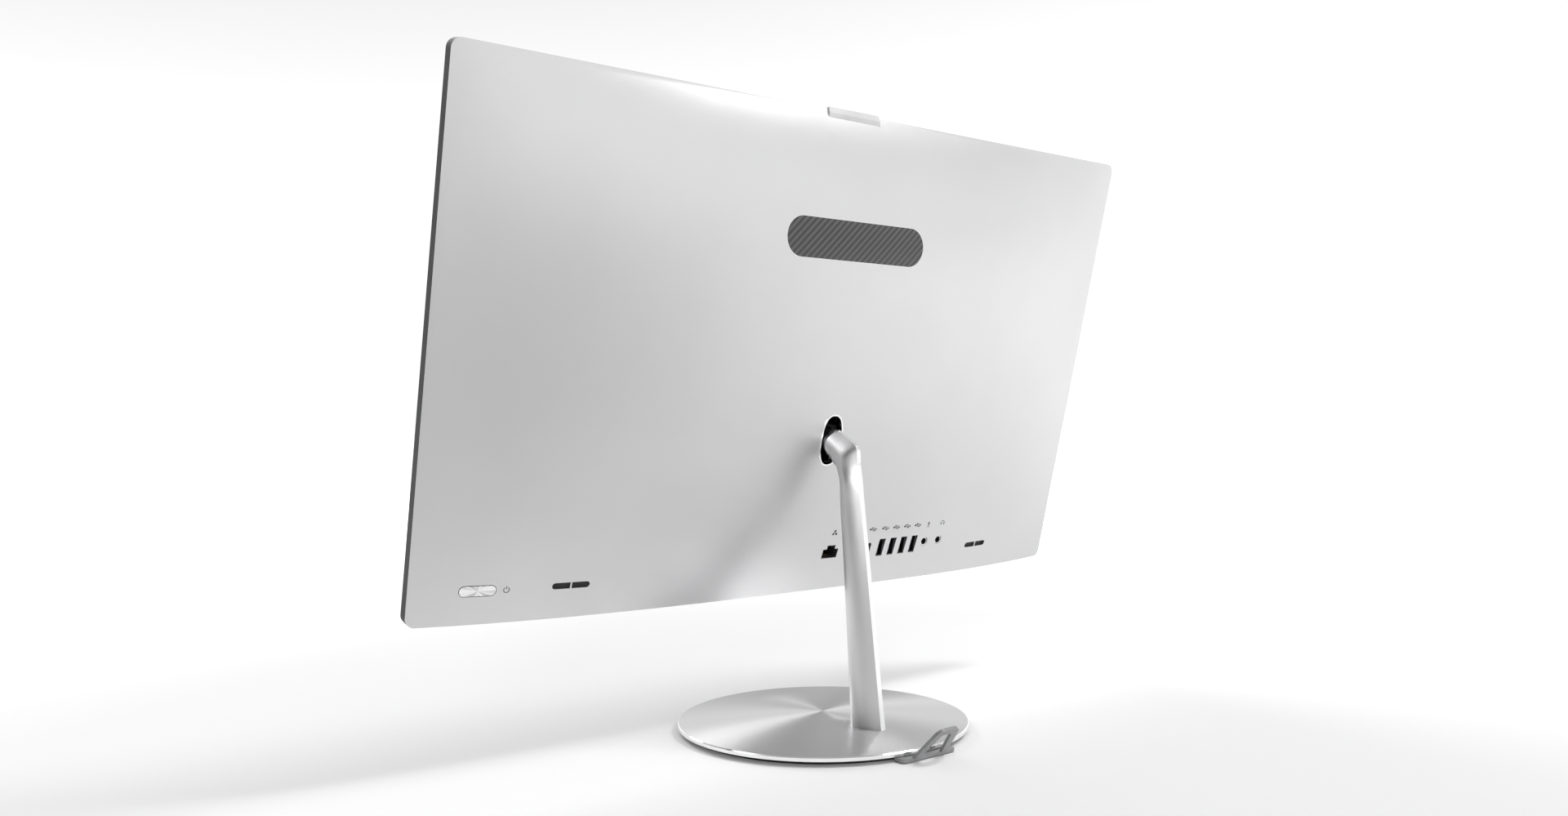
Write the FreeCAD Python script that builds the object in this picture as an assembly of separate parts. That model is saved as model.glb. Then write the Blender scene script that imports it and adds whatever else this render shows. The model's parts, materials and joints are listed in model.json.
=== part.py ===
import FreeCAD, Part
import math
import os

# All in one PC on a round disc stand: slim bulged display body, bent neck, spun base.
# Millimetres. Desk at Z = 0, origin under the centre of the base disc,
# screen faces -Y, ports and neck face +Y, +X is the power button side.
# Display pieces are drawn upright: x across, y = depth behind the frame, z = height up the panel.

# Display body
BODY_W = 541.0
BODY_H = 320.5
CORNER_R = 6.0
EDGE_D = 2.0            # depth of the metal edge behind the frame
FRONT_D = 4.8           # depth of the dark front frame
WALL = 1.6              # rear cover sheet
BULGE = 26.8            # how far the cover swells behind its edge
BOTTOM_DROP = 12.6      # how much of the swell is lost at the bottom edge
CROWN_S = 130.0         # height of the deepest line of the cover
TILT = 14.5             # lean back at rest, degrees

# Screen
SIDE_BEZEL = 7.0
TOP_BEZEL = 7.0
CHIN_H = 17.0
PANEL_LIP = 3.0         # how far the frame laps over the panel
LIP_T = 1.0
GLASS_T = 1.2
CHIN_TRIM_T = 0.6

# Chassis and board
PLATE_T = 1.2           # pressed plate on the back of the frame
PLATE_MARGIN_X = 35.0
PLATE_S0 = 5.0
PLATE_TOP_GAP = 36.0
STANDOFF_H = 3.8
BOARD_T = 1.6
BOARD_X0 = -150.0
BOARD_X1 = 58.0
BOARD_S0 = 14.0
BOARD_S1 = 90.0
BOARD_INSET = 5.0       # screws from the board's edge

# Cards on the board and the drive beside it: x from, x to, s from, s to, height
MEMORY = (-58.0, 9.6, 52.0, 82.0, 3.8)
WIFI_CARD = (16.0, 38.0, 40.0, 70.0, 2.6)
SOLID_STATE = (-8.0, 48.0, 18.8, 36.0, 3.0)
HARD_DRIVE = (70.0, 170.0, 150.0, 220.0, 9.5)

# Screws: head radius, head height, shank radius, shank length
CHASSIS_SCREW = (2.6, 1.4, 1.4, 3.4)
BOARD_SCREW = (2.6, 1.4, 1.2, 3.6)
BRACKET_SCREW = (3.0, 1.6, 1.5, 3.2)

# Speakers
SPEAKER_AT = 0.69       # share of the half width
SPEAKER_HALF = 26.0
SPEAKER_T = 4.0
SPEAKER_TOP = 15.0

# Hinge and neck
HINGE_Y = 4.1
HINGE_Z = 195.5
HINGE_S = 112.0
SHAFT_R = 3.0
SHAFT_CLEARANCE = 0.05
EAR_R = 6.5
EAR_T = 3.0
EAR_SIDE_GAP = 0.9      # bracket ears clear of the slot ring
BRACKET_LEN = 30.0
BRACKET_T = 2.0
WASHER_T = 2.4
WASHER_GAP = 0.05
NUT_T = 4.0
NUT_R = 5.5
TONGUE_T = 8.0
TONGUE_H = 11.0
TONGUE_IN = 12.0        # how far the tongue runs into the arm
PIN_IN = 6.0
PIN_R = 1.5
ARM_RISE = 26.6         # arm angle above level, degrees
ARM_LEN = 20.2          # elbow centre to the slot
ARM_LIFT = 0.3          # arm axis above the middle of the slot
NOSE_IN = 4.0           # nose inside the cover's skin
NOSE_LEN = 8.0
NOSE_GAP = 2.0          # nose clear of the hinge shaft
ARM_D = 18.2
ARM_TAPER = 1.3         # how much lower and half deeper the arm is at the elbow
ARM_HALF_W = 7.0
COLUMN_DOWN = 14.0      # column top below the elbow's centre
COLUMN_BACK = 2.9       # column top behind the elbow's centre
NECK_LEAN = 0.082       # column centre moves forward this much per mm of height
NECK_D = 16.4
NECK_FLARE = 10.8       # extra depth at the foot
NECK_HALF_W = 8.0
FOOT_WIDER = 1.5        # half width gained at the foot of the neck
# Sections round the elbow: y and z from its centre, turn, more depth, less half width
ELBOW_SECTIONS = ((1.0, -6.5, 16.0, 2.0, 0.2), (-0.5, -0.9, 34.0, 5.8, 0.4))
FACET_HALF_W = 1.6      # flat rear facet of the neck

# Neck slot in the cover
SLOT_S = 111.0
SLOT_SIDE_GAP = 1.0
SLOT_END_GAP = 7.5      # room for the neck to swing in the slot
RING_T = 1.1
RING_IN = 5.4
RING_PROUD = 0.35

# Stand
DISC_R = 97.0
RIM_TOP = 6.0
RIM_BOTTOM = 3.0
DOME_TOP = 10.6
RIM_CHAMFER = 0.6
WEIGHT_R = 83.0
WEIGHT_Z0 = 1.5
WEIGHT_Z1 = 4.5
RING_FOOT_R0 = 84.5
RING_FOOT_R1 = 90.0
PAD_R = 14.0
NECK_SEAT_Z = 6.2
NECK_SCREW_R = 2.5
NECK_SCREW_HEAD_R = 4.5
NECK_SCREW_Y = (39.5, 52.5)

# Cable clip
CLIP_Y = 97.6
CLIP_Z = 0.8
CLIP_REACH = 19.0
CLIP_RISE = 21.0
CLIP_BASE_HALF = 14.5
CLIP_TOP_HALF = 8.5
CLIP_BAND = 4.4
CLIP_T = 2.0
CLIP_BAR_HALF = 22.0
CLIP_BAR_Y0 = 91.0
CLIP_BAR_T = 2.0
CLIP_SCREW_X = 17.0
CLIP_SCREW_R = 1.3

# Rear ports, all on one line
PORT_S = 28.5
PORT_RECESS = 0.7
PORT_GAP = 0.3
SOCKET_GAP = 0.2        # metal shells inside their windows
SHELL_T = 0.35
LAN_X = -21.5
LAN_HALF_W = 6.8
LAN_BELOW = 4.2
LAN_ABOVE = 2.6
LATCH_HALF_W = 3.6
LATCH_ABOVE = 5.4
LAN_DEPTH = 12.0
DC_X = -38.0
DC_WINDOW_R = 3.6
DC_PIN_R = 1.0
HDMI_X = -48.5
HDMI_HALF_W = 2.5
HDMI_HALF_H = 7.3
USB_C_X = -57.5
USB_C_HALF_W = 1.7
USB_C_HALF_H = 4.6
USB_A_X = -69.5
USB_A_PITCH = -10.9
USB_A_COUNT = 4
USB_A_HALF_W = 2.95
USB_A_HALF_H = 6.7
MIC_X = -113.8
HEADPHONE_X = -129.0
JACK_S = 29.5
JACK_R = 1.8
JACK_BARREL_R = 3.0

# Two-part side slots and power button
SIDE_SLOT_FROM_EDGE = 95.5
SIDE_SLOT_S = 21.5
SIDE_SLOT_W = 24.0
SIDE_SLOT_H = 4.0
SLOT_RIB = 1.0
BUTTON_FROM_EDGE = 39.0
BUTTON_S = 21.0
BUTTON_W = 22.0
BUTTON_H = 7.0
BUTTON_GAP = 0.4
BUTTON_TRAVEL = 0.8
BUTTON_BACK = 4.2
FLANGE_MORE = 1.3
FLANGE_T = 1.2
SWITCH_HALF = 3.0
PLUNGER_R = 1.6
PLUNGER_LEN = 0.7

# Badge
BADGE_FROM_TOP = 79.0
BADGE_W = 116.0
BADGE_H = 25.0
BADGE_T = 0.5

# Pop-up camera
CAMERA_W = 43.0
CAMERA_D0 = 0.6
CAMERA_D1 = 4.2
CAMERA_H = 34.0
CAMERA_PROUD = 1.8
CAMERA_GAP = 0.3
GUIDE_T = 3.0
WINDOW_HALF = 17.0
WINDOW_LOW = 17.0       # both counted down from the sled's top
WINDOW_HIGH = 3.0
WINDOW_T = 0.5
LENS_R = 3.4
LENS_T = 1.6
LENS_DOWN = 10.0

# Cooler
FAN_X = -112.0
FAN_S = 166.0
FAN_SIZE = 62.0
FAN_D0 = 7.0
FAN_T = 11.0
FAN_R = 26.0
FAN_GAP = 1.2
FAN_WALL = 1.0
FAN_INLET_R = 20.0
HUB_R = 11.0
BLADES = 11
BLADE_SWEEP = 28.0
AXLE_R = 1.5
CPU_X = -112.0
CPU_S = 66.0
COLD_PLATE_T = 4.0
PIPE_T = 3.0
FIN_HALF = 28.0
FIN_LEN = 12.0
FIN_H = 6.0
FIN_T = 0.7
FIN_COUNT = 20

# Slatted vent in the underside
GRILLE_FROM_EDGE = 120.0
GRILLE_D0 = 2.4
GRILLE_D1 = 8.4
GRILLE_PITCH = 6.0
GRILLE_SLOT = 4.0
GRILLE_EDGE = 1.2

# Derived
HALF_W = BODY_W / 2.0
BADGE_S = BODY_H - BADGE_FROM_TOP
SLOT_HALF_W = ARM_HALF_W + SLOT_SIDE_GAP
SLOT_HALF_H = ARM_D / 2 + SLOT_END_GAP
ACTIVE_W = BODY_W - 2 * SIDE_BEZEL
BOARD_D0 = PLATE_T + STANDOFF_H
BOARD_D1 = BOARD_D0 + BOARD_T
HINGE_IN = NOSE_IN + NOSE_GAP + SHAFT_R
EAR_IN = SLOT_HALF_W + RING_T + EAR_SIDE_GAP
EAR_OUT = EAR_IN + EAR_T
GRILLE_HALF = HALF_W - GRILLE_FROM_EDGE
CAMERA_TOP = BODY_H + CAMERA_PROUD
FAR = 60.0              # longer than anything it cuts


def skin_depth(x, s):
    """Depth of the cover's outer skin behind the frame, at x across and s up."""
    across = 1.0 - (abs(x) / HALF_W) ** 3
    if s < CROWN_S:
        swell = BULGE - BOTTOM_DROP * ((CROWN_S - s) / CROWN_S) ** 2
    else:
        swell = BULGE * (1.0 - ((s - CROWN_S) / (BODY_H - CROWN_S)) ** 4)
    return EDGE_D + across * swell


HINGE_D = skin_depth(0.0, HINGE_S) - HINGE_IN


def vec(x, y, z):
    return FreeCAD.Vector(x, y, z)


def box(x0, x1, y0, y1, z0, z1):
    return Part.makeBox(x1 - x0, y1 - y0, z1 - z0, vec(x0, y0, z0))


def rod(radius, start, direction, length):
    return Part.makeCylinder(radius, length, start, direction)


def join(shapes):
    """One solid from shapes that overlap or share a face."""
    whole = shapes[0]
    for shape in shapes[1:]:
        whole = whole.fuse(shape)
    return whole.removeSplitter()


def group(shapes):
    return Part.makeCompound(shapes)


def place(shape):
    """Move an upright display piece to its leaning place on the hinge."""
    moved = shape.copy()
    moved.translate(vec(0.0, -HINGE_D, -HINGE_S))
    moved.rotate(vec(0, 0, 0), vec(1, 0, 0), -TILT)
    moved.translate(vec(0.0, HINGE_Y, HINGE_Z))
    return moved


def save(name, shape):
    shape.exportStep("parts/" + name + ".step")


def rounded_prism(x0, x1, s0, s1, radius, d0, d1):
    """Rounded rectangle across x and s, from depth d0 to d1."""
    block = box(x0, x1, d0, d1, s0, s1)
    upright = [e for e in block.Edges if abs(e.BoundBox.YLength - (d1 - d0)) < 1e-6]
    return block.makeFillet(radius, upright)


def stadium(x, s, width, height, d0, d1):
    """Round-ended bar along x or s, from depth d0 to d1."""
    radius = min(width, height) / 2.0 - 0.01
    return rounded_prism(x - width / 2, x + width / 2, s - height / 2, s + height / 2, radius, d0, d1)


def oval_prism(half_w, half_h, power, d0, d1):
    """Squarish oval round the neck slot, from depth d0 to d1."""
    points = []
    steps = 24
    for i in range(steps):
        angle = 2 * math.pi * i / steps
        c = math.cos(angle)
        s = math.sin(angle)
        x = half_w * math.copysign(abs(c) ** (2 / power), c)
        z = half_h * math.copysign(abs(s) ** (2 / power), s)
        points.append(vec(x, d0, SLOT_S + z))
    curve = Part.BSplineCurve()
    curve.interpolate(points, PeriodicFlag=True)
    face = Part.Face(Part.Wire(curve.toShape()))
    return face.extrude(vec(0, d1 - d0, 0))


def make_skin():
    """Everything in front of the cover's outer skin, as one oversize solid."""
    columns = 31
    rows = 25
    spare = 4.0
    grid = []
    for i in range(columns):
        x = -HALF_W - spare + (BODY_W + 2 * spare) * i / (columns - 1)
        line = []
        for j in range(rows):
            s = -spare + (BODY_H + 2 * spare) * j / (rows - 1)
            line.append(vec(x, skin_depth(x, s), s))
        grid.append(line)
    surface = Part.BSplineSurface()
    surface.interpolate(grid)
    return surface.toShape().extrude(vec(0, -FAR, 0))


SKIN = make_skin()


def under_skin(shape, offset):
    """The part of shape in front of the skin moved by offset."""
    cutter = SKIN.copy()
    cutter.translate(vec(0, offset, 0))
    return shape.common(cutter)


def beyond_skin(shape, offset):
    cutter = SKIN.copy()
    cutter.translate(vec(0, offset, 0))
    return shape.cut(cutter)


# ---- Display shell ----

def port_windows():
    """Cuts through the cover for every rear socket."""
    s = PORT_S
    cuts = [
        box(LAN_X - LAN_HALF_W, LAN_X + LAN_HALF_W, 0, FAR, s - LAN_BELOW, s + LAN_ABOVE),
        box(LAN_X - LATCH_HALF_W, LAN_X + LATCH_HALF_W, 0, FAR, s, s + LATCH_ABOVE),
        rod(DC_WINDOW_R, vec(DC_X, 0, s), vec(0, 1, 0), FAR),
        stadium(USB_C_X, s, 2 * USB_C_HALF_W, 2 * USB_C_HALF_H, 0, FAR),
        box(HDMI_X - HDMI_HALF_W, HDMI_X + HDMI_HALF_W, 0, FAR, s - HDMI_HALF_H, s + HDMI_HALF_H),
    ]
    for i in range(USB_A_COUNT):
        x = USB_A_X + i * USB_A_PITCH
        cuts.append(box(x - USB_A_HALF_W, x + USB_A_HALF_W, 0, FAR, s - USB_A_HALF_H, s + USB_A_HALF_H))
    for x in (MIC_X, HEADPHONE_X):
        cuts.append(rod(JACK_BARREL_R + PORT_GAP, vec(x, 0, JACK_S), vec(0, 1, 0), FAR))
    return cuts


def side_slot(x):
    opening = stadium(x, SIDE_SLOT_S, SIDE_SLOT_W, SIDE_SLOT_H, 0, FAR)
    return opening.cut(box(x - SLOT_RIB / 2, x + SLOT_RIB / 2, -1, FAR + 1, 0, 2 * SIDE_SLOT_S))


def bottom_block(x0, x1, d0, d1, s0, s1):
    """Round-cornered plate lying on the underside."""
    block = box(x0, x1, d0, d1, s0, s1)
    upright = [e for e in block.Edges if abs(e.BoundBox.ZLength - (s1 - s0)) < 1e-6]
    return block.makeFillet(min(1.5, (d1 - d0) / 3), upright)


def rear_cover():
    outline = rounded_prism(-HALF_W, HALF_W, 0, BODY_H, CORNER_R, 0, FAR)
    outer = under_skin(outline, 0.0)
    hollow = rounded_prism(-HALF_W + WALL, HALF_W - WALL, WALL, BODY_H - WALL,
                           CORNER_R - WALL, -1.0, FAR)
    cover = outer.cut(under_skin(hollow, -WALL))
    cuts = port_windows()
    cuts.append(oval_prism(SLOT_HALF_W + RING_T, SLOT_HALF_H + RING_T, 2.5, 0, FAR))
    for side in (-1, 1):
        cuts.append(side_slot(side * (HALF_W - SIDE_SLOT_FROM_EDGE)))
    cuts.append(stadium(HALF_W - BUTTON_FROM_EDGE, BUTTON_S, BUTTON_W, BUTTON_H, 0, FAR))
    cuts.append(bottom_block(-GRILLE_HALF, GRILLE_HALF, GRILLE_D0, GRILLE_D1, -1, WALL + 1))
    half = CAMERA_W / 2 + CAMERA_GAP
    cuts.append(box(-half, half, CAMERA_D0 - CAMERA_GAP, CAMERA_D1 + CAMERA_GAP, BODY_H - 9, BODY_H + 1))
    cuts.append(badge_blank())
    return cover.cut(cuts)


def badge_blank():
    plate = rounded_prism(-BADGE_W / 2, BADGE_W / 2, BADGE_S - BADGE_H / 2,
                          BADGE_S + BADGE_H / 2, BADGE_H / 2 - 0.1, 0, FAR)
    return beyond_skin(under_skin(plate, 0.0), -BADGE_T)


def front_frame():
    """Dark front frame with a lipped opening for the panel and a recess for the chin trim."""
    frame = rounded_prism(-HALF_W, HALF_W, 0, BODY_H, CORNER_R, -FRONT_D, 0)
    half = ACTIVE_W / 2
    view = box(-half, half, -FRONT_D - 1, 1, CHIN_H, BODY_H - TOP_BEZEL)
    seat = box(-half - PANEL_LIP, half + PANEL_LIP, -FRONT_D + LIP_T, 1,
               CHIN_H - PANEL_LIP, BODY_H - TOP_BEZEL + PANEL_LIP)
    return frame.cut([view, seat, chin_trim()])


def chin_trim():
    edge = 1.2
    return rounded_prism(-HALF_W + edge, HALF_W - edge, edge, CHIN_H - edge, CORNER_R - edge,
                         -FRONT_D, -FRONT_D + CHIN_TRIM_T)


def panel_slab(d0, d1, inset):
    half = ACTIVE_W / 2 + PANEL_LIP - inset
    return box(-half, half, d0, d1, CHIN_H - PANEL_LIP + inset, BODY_H - TOP_BEZEL + PANEL_LIP - inset)


def screen_panel():
    start = -FRONT_D + LIP_T
    return panel_slab(start, start + GLASS_T, 0.2)


def backlight_tray():
    return panel_slab(-FRONT_D + LIP_T + GLASS_T, 0.0, 0.2)


def bottom_grille():
    """Slatted vent strip in the underside."""
    gap = 0.1
    strip = bottom_block(-GRILLE_HALF + gap, GRILLE_HALF - gap, GRILLE_D0 + gap, GRILLE_D1 - gap,
                         0.2, WALL)
    slots = []
    count = int(2 * GRILLE_HALF / GRILLE_PITCH) - 2
    half = GRILLE_SLOT / 2
    for i in range(count):
        x = (i - (count - 1) / 2) * GRILLE_PITCH
        slots.append(box(x - half, x + half, GRILLE_D0 + GRILLE_EDGE, GRILLE_D1 - GRILLE_EDGE, -1, WALL + 1))
    return strip.cut(slots)


def slot_ring():
    outer = oval_prism(SLOT_HALF_W + RING_T, SLOT_HALF_H + RING_T, 2.5, 0, FAR)
    inner = oval_prism(SLOT_HALF_W, SLOT_HALF_H, 2.5, -1, FAR + 1)
    return beyond_skin(under_skin(outer.cut(inner), RING_PROUD), -RING_IN)


def side_slot_liner(side):
    """Dark mesh backing behind one two-part slot."""
    x = side * (HALF_W - SIDE_SLOT_FROM_EDGE)
    pad = stadium(x, SIDE_SLOT_S, SIDE_SLOT_W + 4, SIDE_SLOT_H + 4, 0, FAR)
    return beyond_skin(under_skin(pad, -WALL), -WALL - 1.0)


# ---- Power button ----

def power_button():
    x = HALF_W - BUTTON_FROM_EDGE
    cap = under_skin(stadium(x, BUTTON_S, BUTTON_W - 2 * BUTTON_GAP, BUTTON_H - 2 * BUTTON_GAP,
                             BUTTON_BACK, FAR), 0.15)
    flange = under_skin(stadium(x, BUTTON_S, BUTTON_W + 2 * FLANGE_MORE, BUTTON_H + 2 * FLANGE_MORE,
                                BUTTON_BACK, BUTTON_BACK + FLANGE_T), -WALL - 0.3)
    return join([cap, flange])


def power_switch():
    x = HALF_W - BUTTON_FROM_EDGE
    top = BUTTON_BACK - BUTTON_TRAVEL - 0.2
    body = box(x - SWITCH_HALF, x + SWITCH_HALF, PLATE_T, top - PLUNGER_LEN,
               BUTTON_S - SWITCH_HALF, BUTTON_S + SWITCH_HALF)
    plunger = rod(PLUNGER_R, vec(x, top - PLUNGER_LEN, BUTTON_S), vec(0, 1, 0), PLUNGER_LEN)
    return join([body, plunger])


# ---- Pop-up camera ----

def camera_carriage():
    """Camera sled whose back follows the skin, standing a little proud of the top edge."""
    half = CAMERA_W / 2
    sled = rounded_prism(-half, half, CAMERA_TOP - CAMERA_H, CAMERA_TOP, 1.5, CAMERA_D0, CAMERA_D1)
    limit = SKIN.copy()
    limit.translate(vec(0, 0, CAMERA_PROUD + 0.6))
    return sled.common(limit).cut([camera_window(), camera_lens()])


def camera_window():
    return rounded_prism(-WINDOW_HALF, WINDOW_HALF, CAMERA_TOP - WINDOW_LOW, CAMERA_TOP - WINDOW_HIGH,
                         1.5, CAMERA_D0, CAMERA_D0 + WINDOW_T)


def camera_lens():
    return rod(LENS_R, vec(0, CAMERA_D0 + WINDOW_T, CAMERA_TOP - LENS_DOWN), vec(0, 1, 0), LENS_T)


def camera_guide():
    """Two rails that the camera sled runs between, with a cross bar below."""
    half = CAMERA_W / 2 + CAMERA_GAP
    low = CAMERA_TOP - CAMERA_H - 8
    high = BODY_H - 10
    left = box(-half - GUIDE_T, -half, PLATE_T, CAMERA_D1, low, high)
    right = box(half, half + GUIDE_T, PLATE_T, CAMERA_D1, low, high)
    bar = box(-half - GUIDE_T, half + GUIDE_T, PLATE_T, CAMERA_D1, low - 4, low)
    return join([left, right, bar])


# ---- Chassis, board and what sits on them ----

def chassis_plate():
    half = HALF_W - PLATE_MARGIN_X
    plate = rounded_prism(-half, half, PLATE_S0, BODY_H - PLATE_TOP_GAP, 4.0, 0, PLATE_T)
    ribs = []
    for side in (-1, 1):
        x = side * half * 0.9
        ribs.append(box(x - 4, x + 4, PLATE_T, PLATE_T + 1.5, 110, BODY_H - PLATE_TOP_GAP - 12))
    return join([plate] + ribs)


def chassis_screw_points():
    half = HALF_W - PLATE_MARGIN_X - 12
    return [(half * k, PLATE_S0 + 4.5) for k in (-0.95, -0.5, 0.0, 0.5, 0.95)]


def screw(x, s, d, sizes):
    """Pan head screw driven towards the screen, head resting at depth d."""
    head_r, head_t, shank_r, shank_len = sizes
    head = rod(head_r, vec(x, d, s), vec(0, 1, 0), head_t)
    shank = rod(shank_r, vec(x, d - shank_len, s), vec(0, 1, 0), shank_len)
    return join([head, shank])


def chassis_screws():
    return [screw(x, s, PLATE_T, CHASSIS_SCREW) for x, s in chassis_screw_points()]


def board_screw_points():
    points = []
    for x in (BOARD_X0 + BOARD_INSET, (BOARD_X0 + BOARD_X1) / 2 + 24, BOARD_X1 - BOARD_INSET):
        for s in (BOARD_S0 + BOARD_INSET - 1.5, BOARD_S1 - BOARD_INSET):
            points.append((x, s))
    return points


def standoffs():
    return [rod(2.5, vec(x, PLATE_T, s), vec(0, 1, 0), STANDOFF_H) for x, s in board_screw_points()]


def board_screws():
    return [screw(x, s, BOARD_D1, BOARD_SCREW) for x, s in board_screw_points()]


def motherboard():
    return rounded_prism(BOARD_X0, BOARD_X1, BOARD_S0, BOARD_S1, 2.0, BOARD_D0, BOARD_D1)


def on_board(sizes):
    """Rounded card standing on the board."""
    x0, x1, s0, s1, height = sizes
    return rounded_prism(x0, x1, s0, s1, 0.8, BOARD_D1, BOARD_D1 + height)


def hard_drive():
    x0, x1, s0, s1, height = HARD_DRIVE
    return rounded_prism(x0, x1, s0, s1, 3.0, PLATE_T, PLATE_T + height)


def heatsink():
    """Cold plate on the processor."""
    return rounded_prism(CPU_X - 18, CPU_X + 18, CPU_S - 16, CPU_S + 16, 2.0, BOARD_D1, BOARD_D1 + COLD_PLATE_T)


def heat_pipe():
    """Flat pipe from the cold plate up to the fins beside the fan."""
    base = BOARD_D1 + COLD_PLATE_T
    top = FAN_S - FAN_SIZE / 2 - 1
    return rounded_prism(CPU_X - 4.5, CPU_X + 4.5, CPU_S - 14, top, 3.0, base, base + PIPE_T)


def cooling_fins():
    base = BOARD_D1 + COLD_PLATE_T + PIPE_T
    s1 = FAN_S - FAN_SIZE / 2 - 1
    s0 = s1 - FIN_LEN
    foot = box(FAN_X - FIN_HALF, FAN_X + FIN_HALF, base, base + 0.8, s0, s1)
    fins = []
    pitch = (2 * FIN_HALF - FIN_T) / (FIN_COUNT - 1)
    for i in range(FIN_COUNT):
        x = FAN_X - FIN_HALF + i * pitch
        fins.append(box(x, x + FIN_T, base, base + FIN_H, s0, s1))
    return join([foot] + fins)


def fan_housing():
    """Square blower case, open in the middle of its back and on its lower side."""
    half = FAN_SIZE / 2
    back = FAN_D0 + FAN_T
    case = rounded_prism(FAN_X - half, FAN_X + half, FAN_S - half, FAN_S + half, 4.0, FAN_D0, back)
    room = rod(FAN_R + FAN_GAP, vec(FAN_X, FAN_D0 + FAN_WALL, FAN_S), vec(0, 1, 0), FAN_T - 2 * FAN_WALL)
    mouth = box(FAN_X - 22, FAN_X + 22, FAN_D0 + FAN_WALL, back - FAN_WALL, FAN_S - half - 1, FAN_S - 10)
    inlet = rod(FAN_INLET_R, vec(FAN_X, back - FAN_WALL - 0.5, FAN_S), vec(0, 1, 0), FAN_WALL + 1)
    axle = rod(AXLE_R, vec(FAN_X, FAN_D0 + 0.5, FAN_S), vec(0, 1, 0), FAN_T - 3.5)
    feet = [rod(3.0, vec(FAN_X + i * (half - 5), PLATE_T, FAN_S + j * (half - 5)), vec(0, 1, 0),
                FAN_D0 - PLATE_T) for i in (-1, 1) for j in (-1, 1)]
    return join([case.cut([room, mouth, inlet]), axle] + feet)


def fan_rotor():
    """Hub with swept blades, bored for the axle."""
    d0 = FAN_D0 + FAN_WALL + 1.2
    length = FAN_T - 2 * (FAN_WALL + 1.2)
    hub = rod(HUB_R, vec(FAN_X, d0, FAN_S), vec(0, 1, 0), length)
    blades = []
    for i in range(BLADES):
        blade = box(HUB_R - 2, FAN_R, d0, d0 + length, -0.5, 0.5)
        blade.rotate(vec(HUB_R - 2, 0, 0), vec(0, 1, 0), -BLADE_SWEEP)
        blade.rotate(vec(0, 0, 0), vec(0, 1, 0), 360.0 * i / BLADES)
        blade.translate(vec(FAN_X, 0, FAN_S))
        blades.append(blade)
    bore = rod(AXLE_R + SHAFT_CLEARANCE, vec(FAN_X, 0, FAN_S), vec(0, 1, 0), FAR)
    return join([hub] + blades).cut(bore)


def speaker(side):
    """Sealed speaker box near a bottom corner, driver facing the grille."""
    centre = side * HALF_W * SPEAKER_AT
    foot_half = SPEAKER_HALF - 6
    seat = PLATE_T + 2.0
    case = rounded_prism(centre - SPEAKER_HALF, centre + SPEAKER_HALF, WALL + 2, SPEAKER_TOP, 2.0,
                         seat, seat + SPEAKER_T)
    foot = box(centre - foot_half, centre + foot_half, PLATE_T, seat, WALL + 4, SPEAKER_TOP - 2)
    return join([case, foot])


# ---- Sockets ----

def socket_top(x):
    return skin_depth(x, PORT_S) - PORT_RECESS


def lan_socket():
    top = skin_depth(LAN_X, PORT_S - 7) - WALL - PORT_GAP
    body = box(LAN_X - 8, LAN_X + 8, BOARD_D1, top, PORT_S - 6.2, PORT_S + 7.4)
    half = LAN_HALF_W - 0.8
    cavity = box(LAN_X - half, LAN_X + half, top - LAN_DEPTH, FAR,
                 PORT_S - LAN_BELOW + 0.4, PORT_S + LAN_ABOVE + 0.3)
    latch_half = LATCH_HALF_W - 0.4
    latch = box(LAN_X - latch_half, LAN_X + latch_half, top - LAN_DEPTH, FAR,
                PORT_S, PORT_S + LATCH_ABOVE - 0.2)
    return body.cut([cavity, latch])


def usb_a_shell(x):
    half_w = USB_A_HALF_W - SOCKET_GAP
    half_h = USB_A_HALF_H - SOCKET_GAP
    shell = box(x - half_w, x + half_w, BOARD_D1, socket_top(x) - 0.6, PORT_S - half_h, PORT_S + half_h)
    room_w = half_w - SHELL_T
    room_h = half_h - SHELL_T
    room = box(x - room_w, x + room_w, BOARD_D1 + 1.0, FAR, PORT_S - room_h, PORT_S + room_h)
    return shell.cut(room)


def usb_a_tongue(x):
    half_w = USB_A_HALF_W - SOCKET_GAP - SHELL_T
    half_h = USB_A_HALF_H - SOCKET_GAP - SHELL_T
    base = BOARD_D1 + 1.0
    root = box(x - half_w, x + half_w, base, base + 1.2, PORT_S - half_h, PORT_S + half_h)
    tongue = box(x + 0.2, x + 2.0, base + 1.2, socket_top(x) - 1.6, PORT_S - 5.5, PORT_S + 5.5)
    return join([root, tongue])


def usb_a_all(maker):
    return [maker(USB_A_X + i * USB_A_PITCH) for i in range(USB_A_COUNT)]


def usb_c_socket():
    width = 2 * (USB_C_HALF_W - SOCKET_GAP)
    height = 2 * (USB_C_HALF_H - SOCKET_GAP)
    top = socket_top(USB_C_X) - 0.5
    shell = stadium(USB_C_X, PORT_S, width, height, BOARD_D1, top)
    room = stadium(USB_C_X, PORT_S, width - 2 * SHELL_T, height - 2 * SHELL_T, BOARD_D1 + 2, FAR)
    tongue = box(USB_C_X - 0.35, USB_C_X + 0.35, BOARD_D1, top - 0.7, PORT_S - 3.3, PORT_S + 3.3)
    return join([shell.cut(room), tongue])


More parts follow.
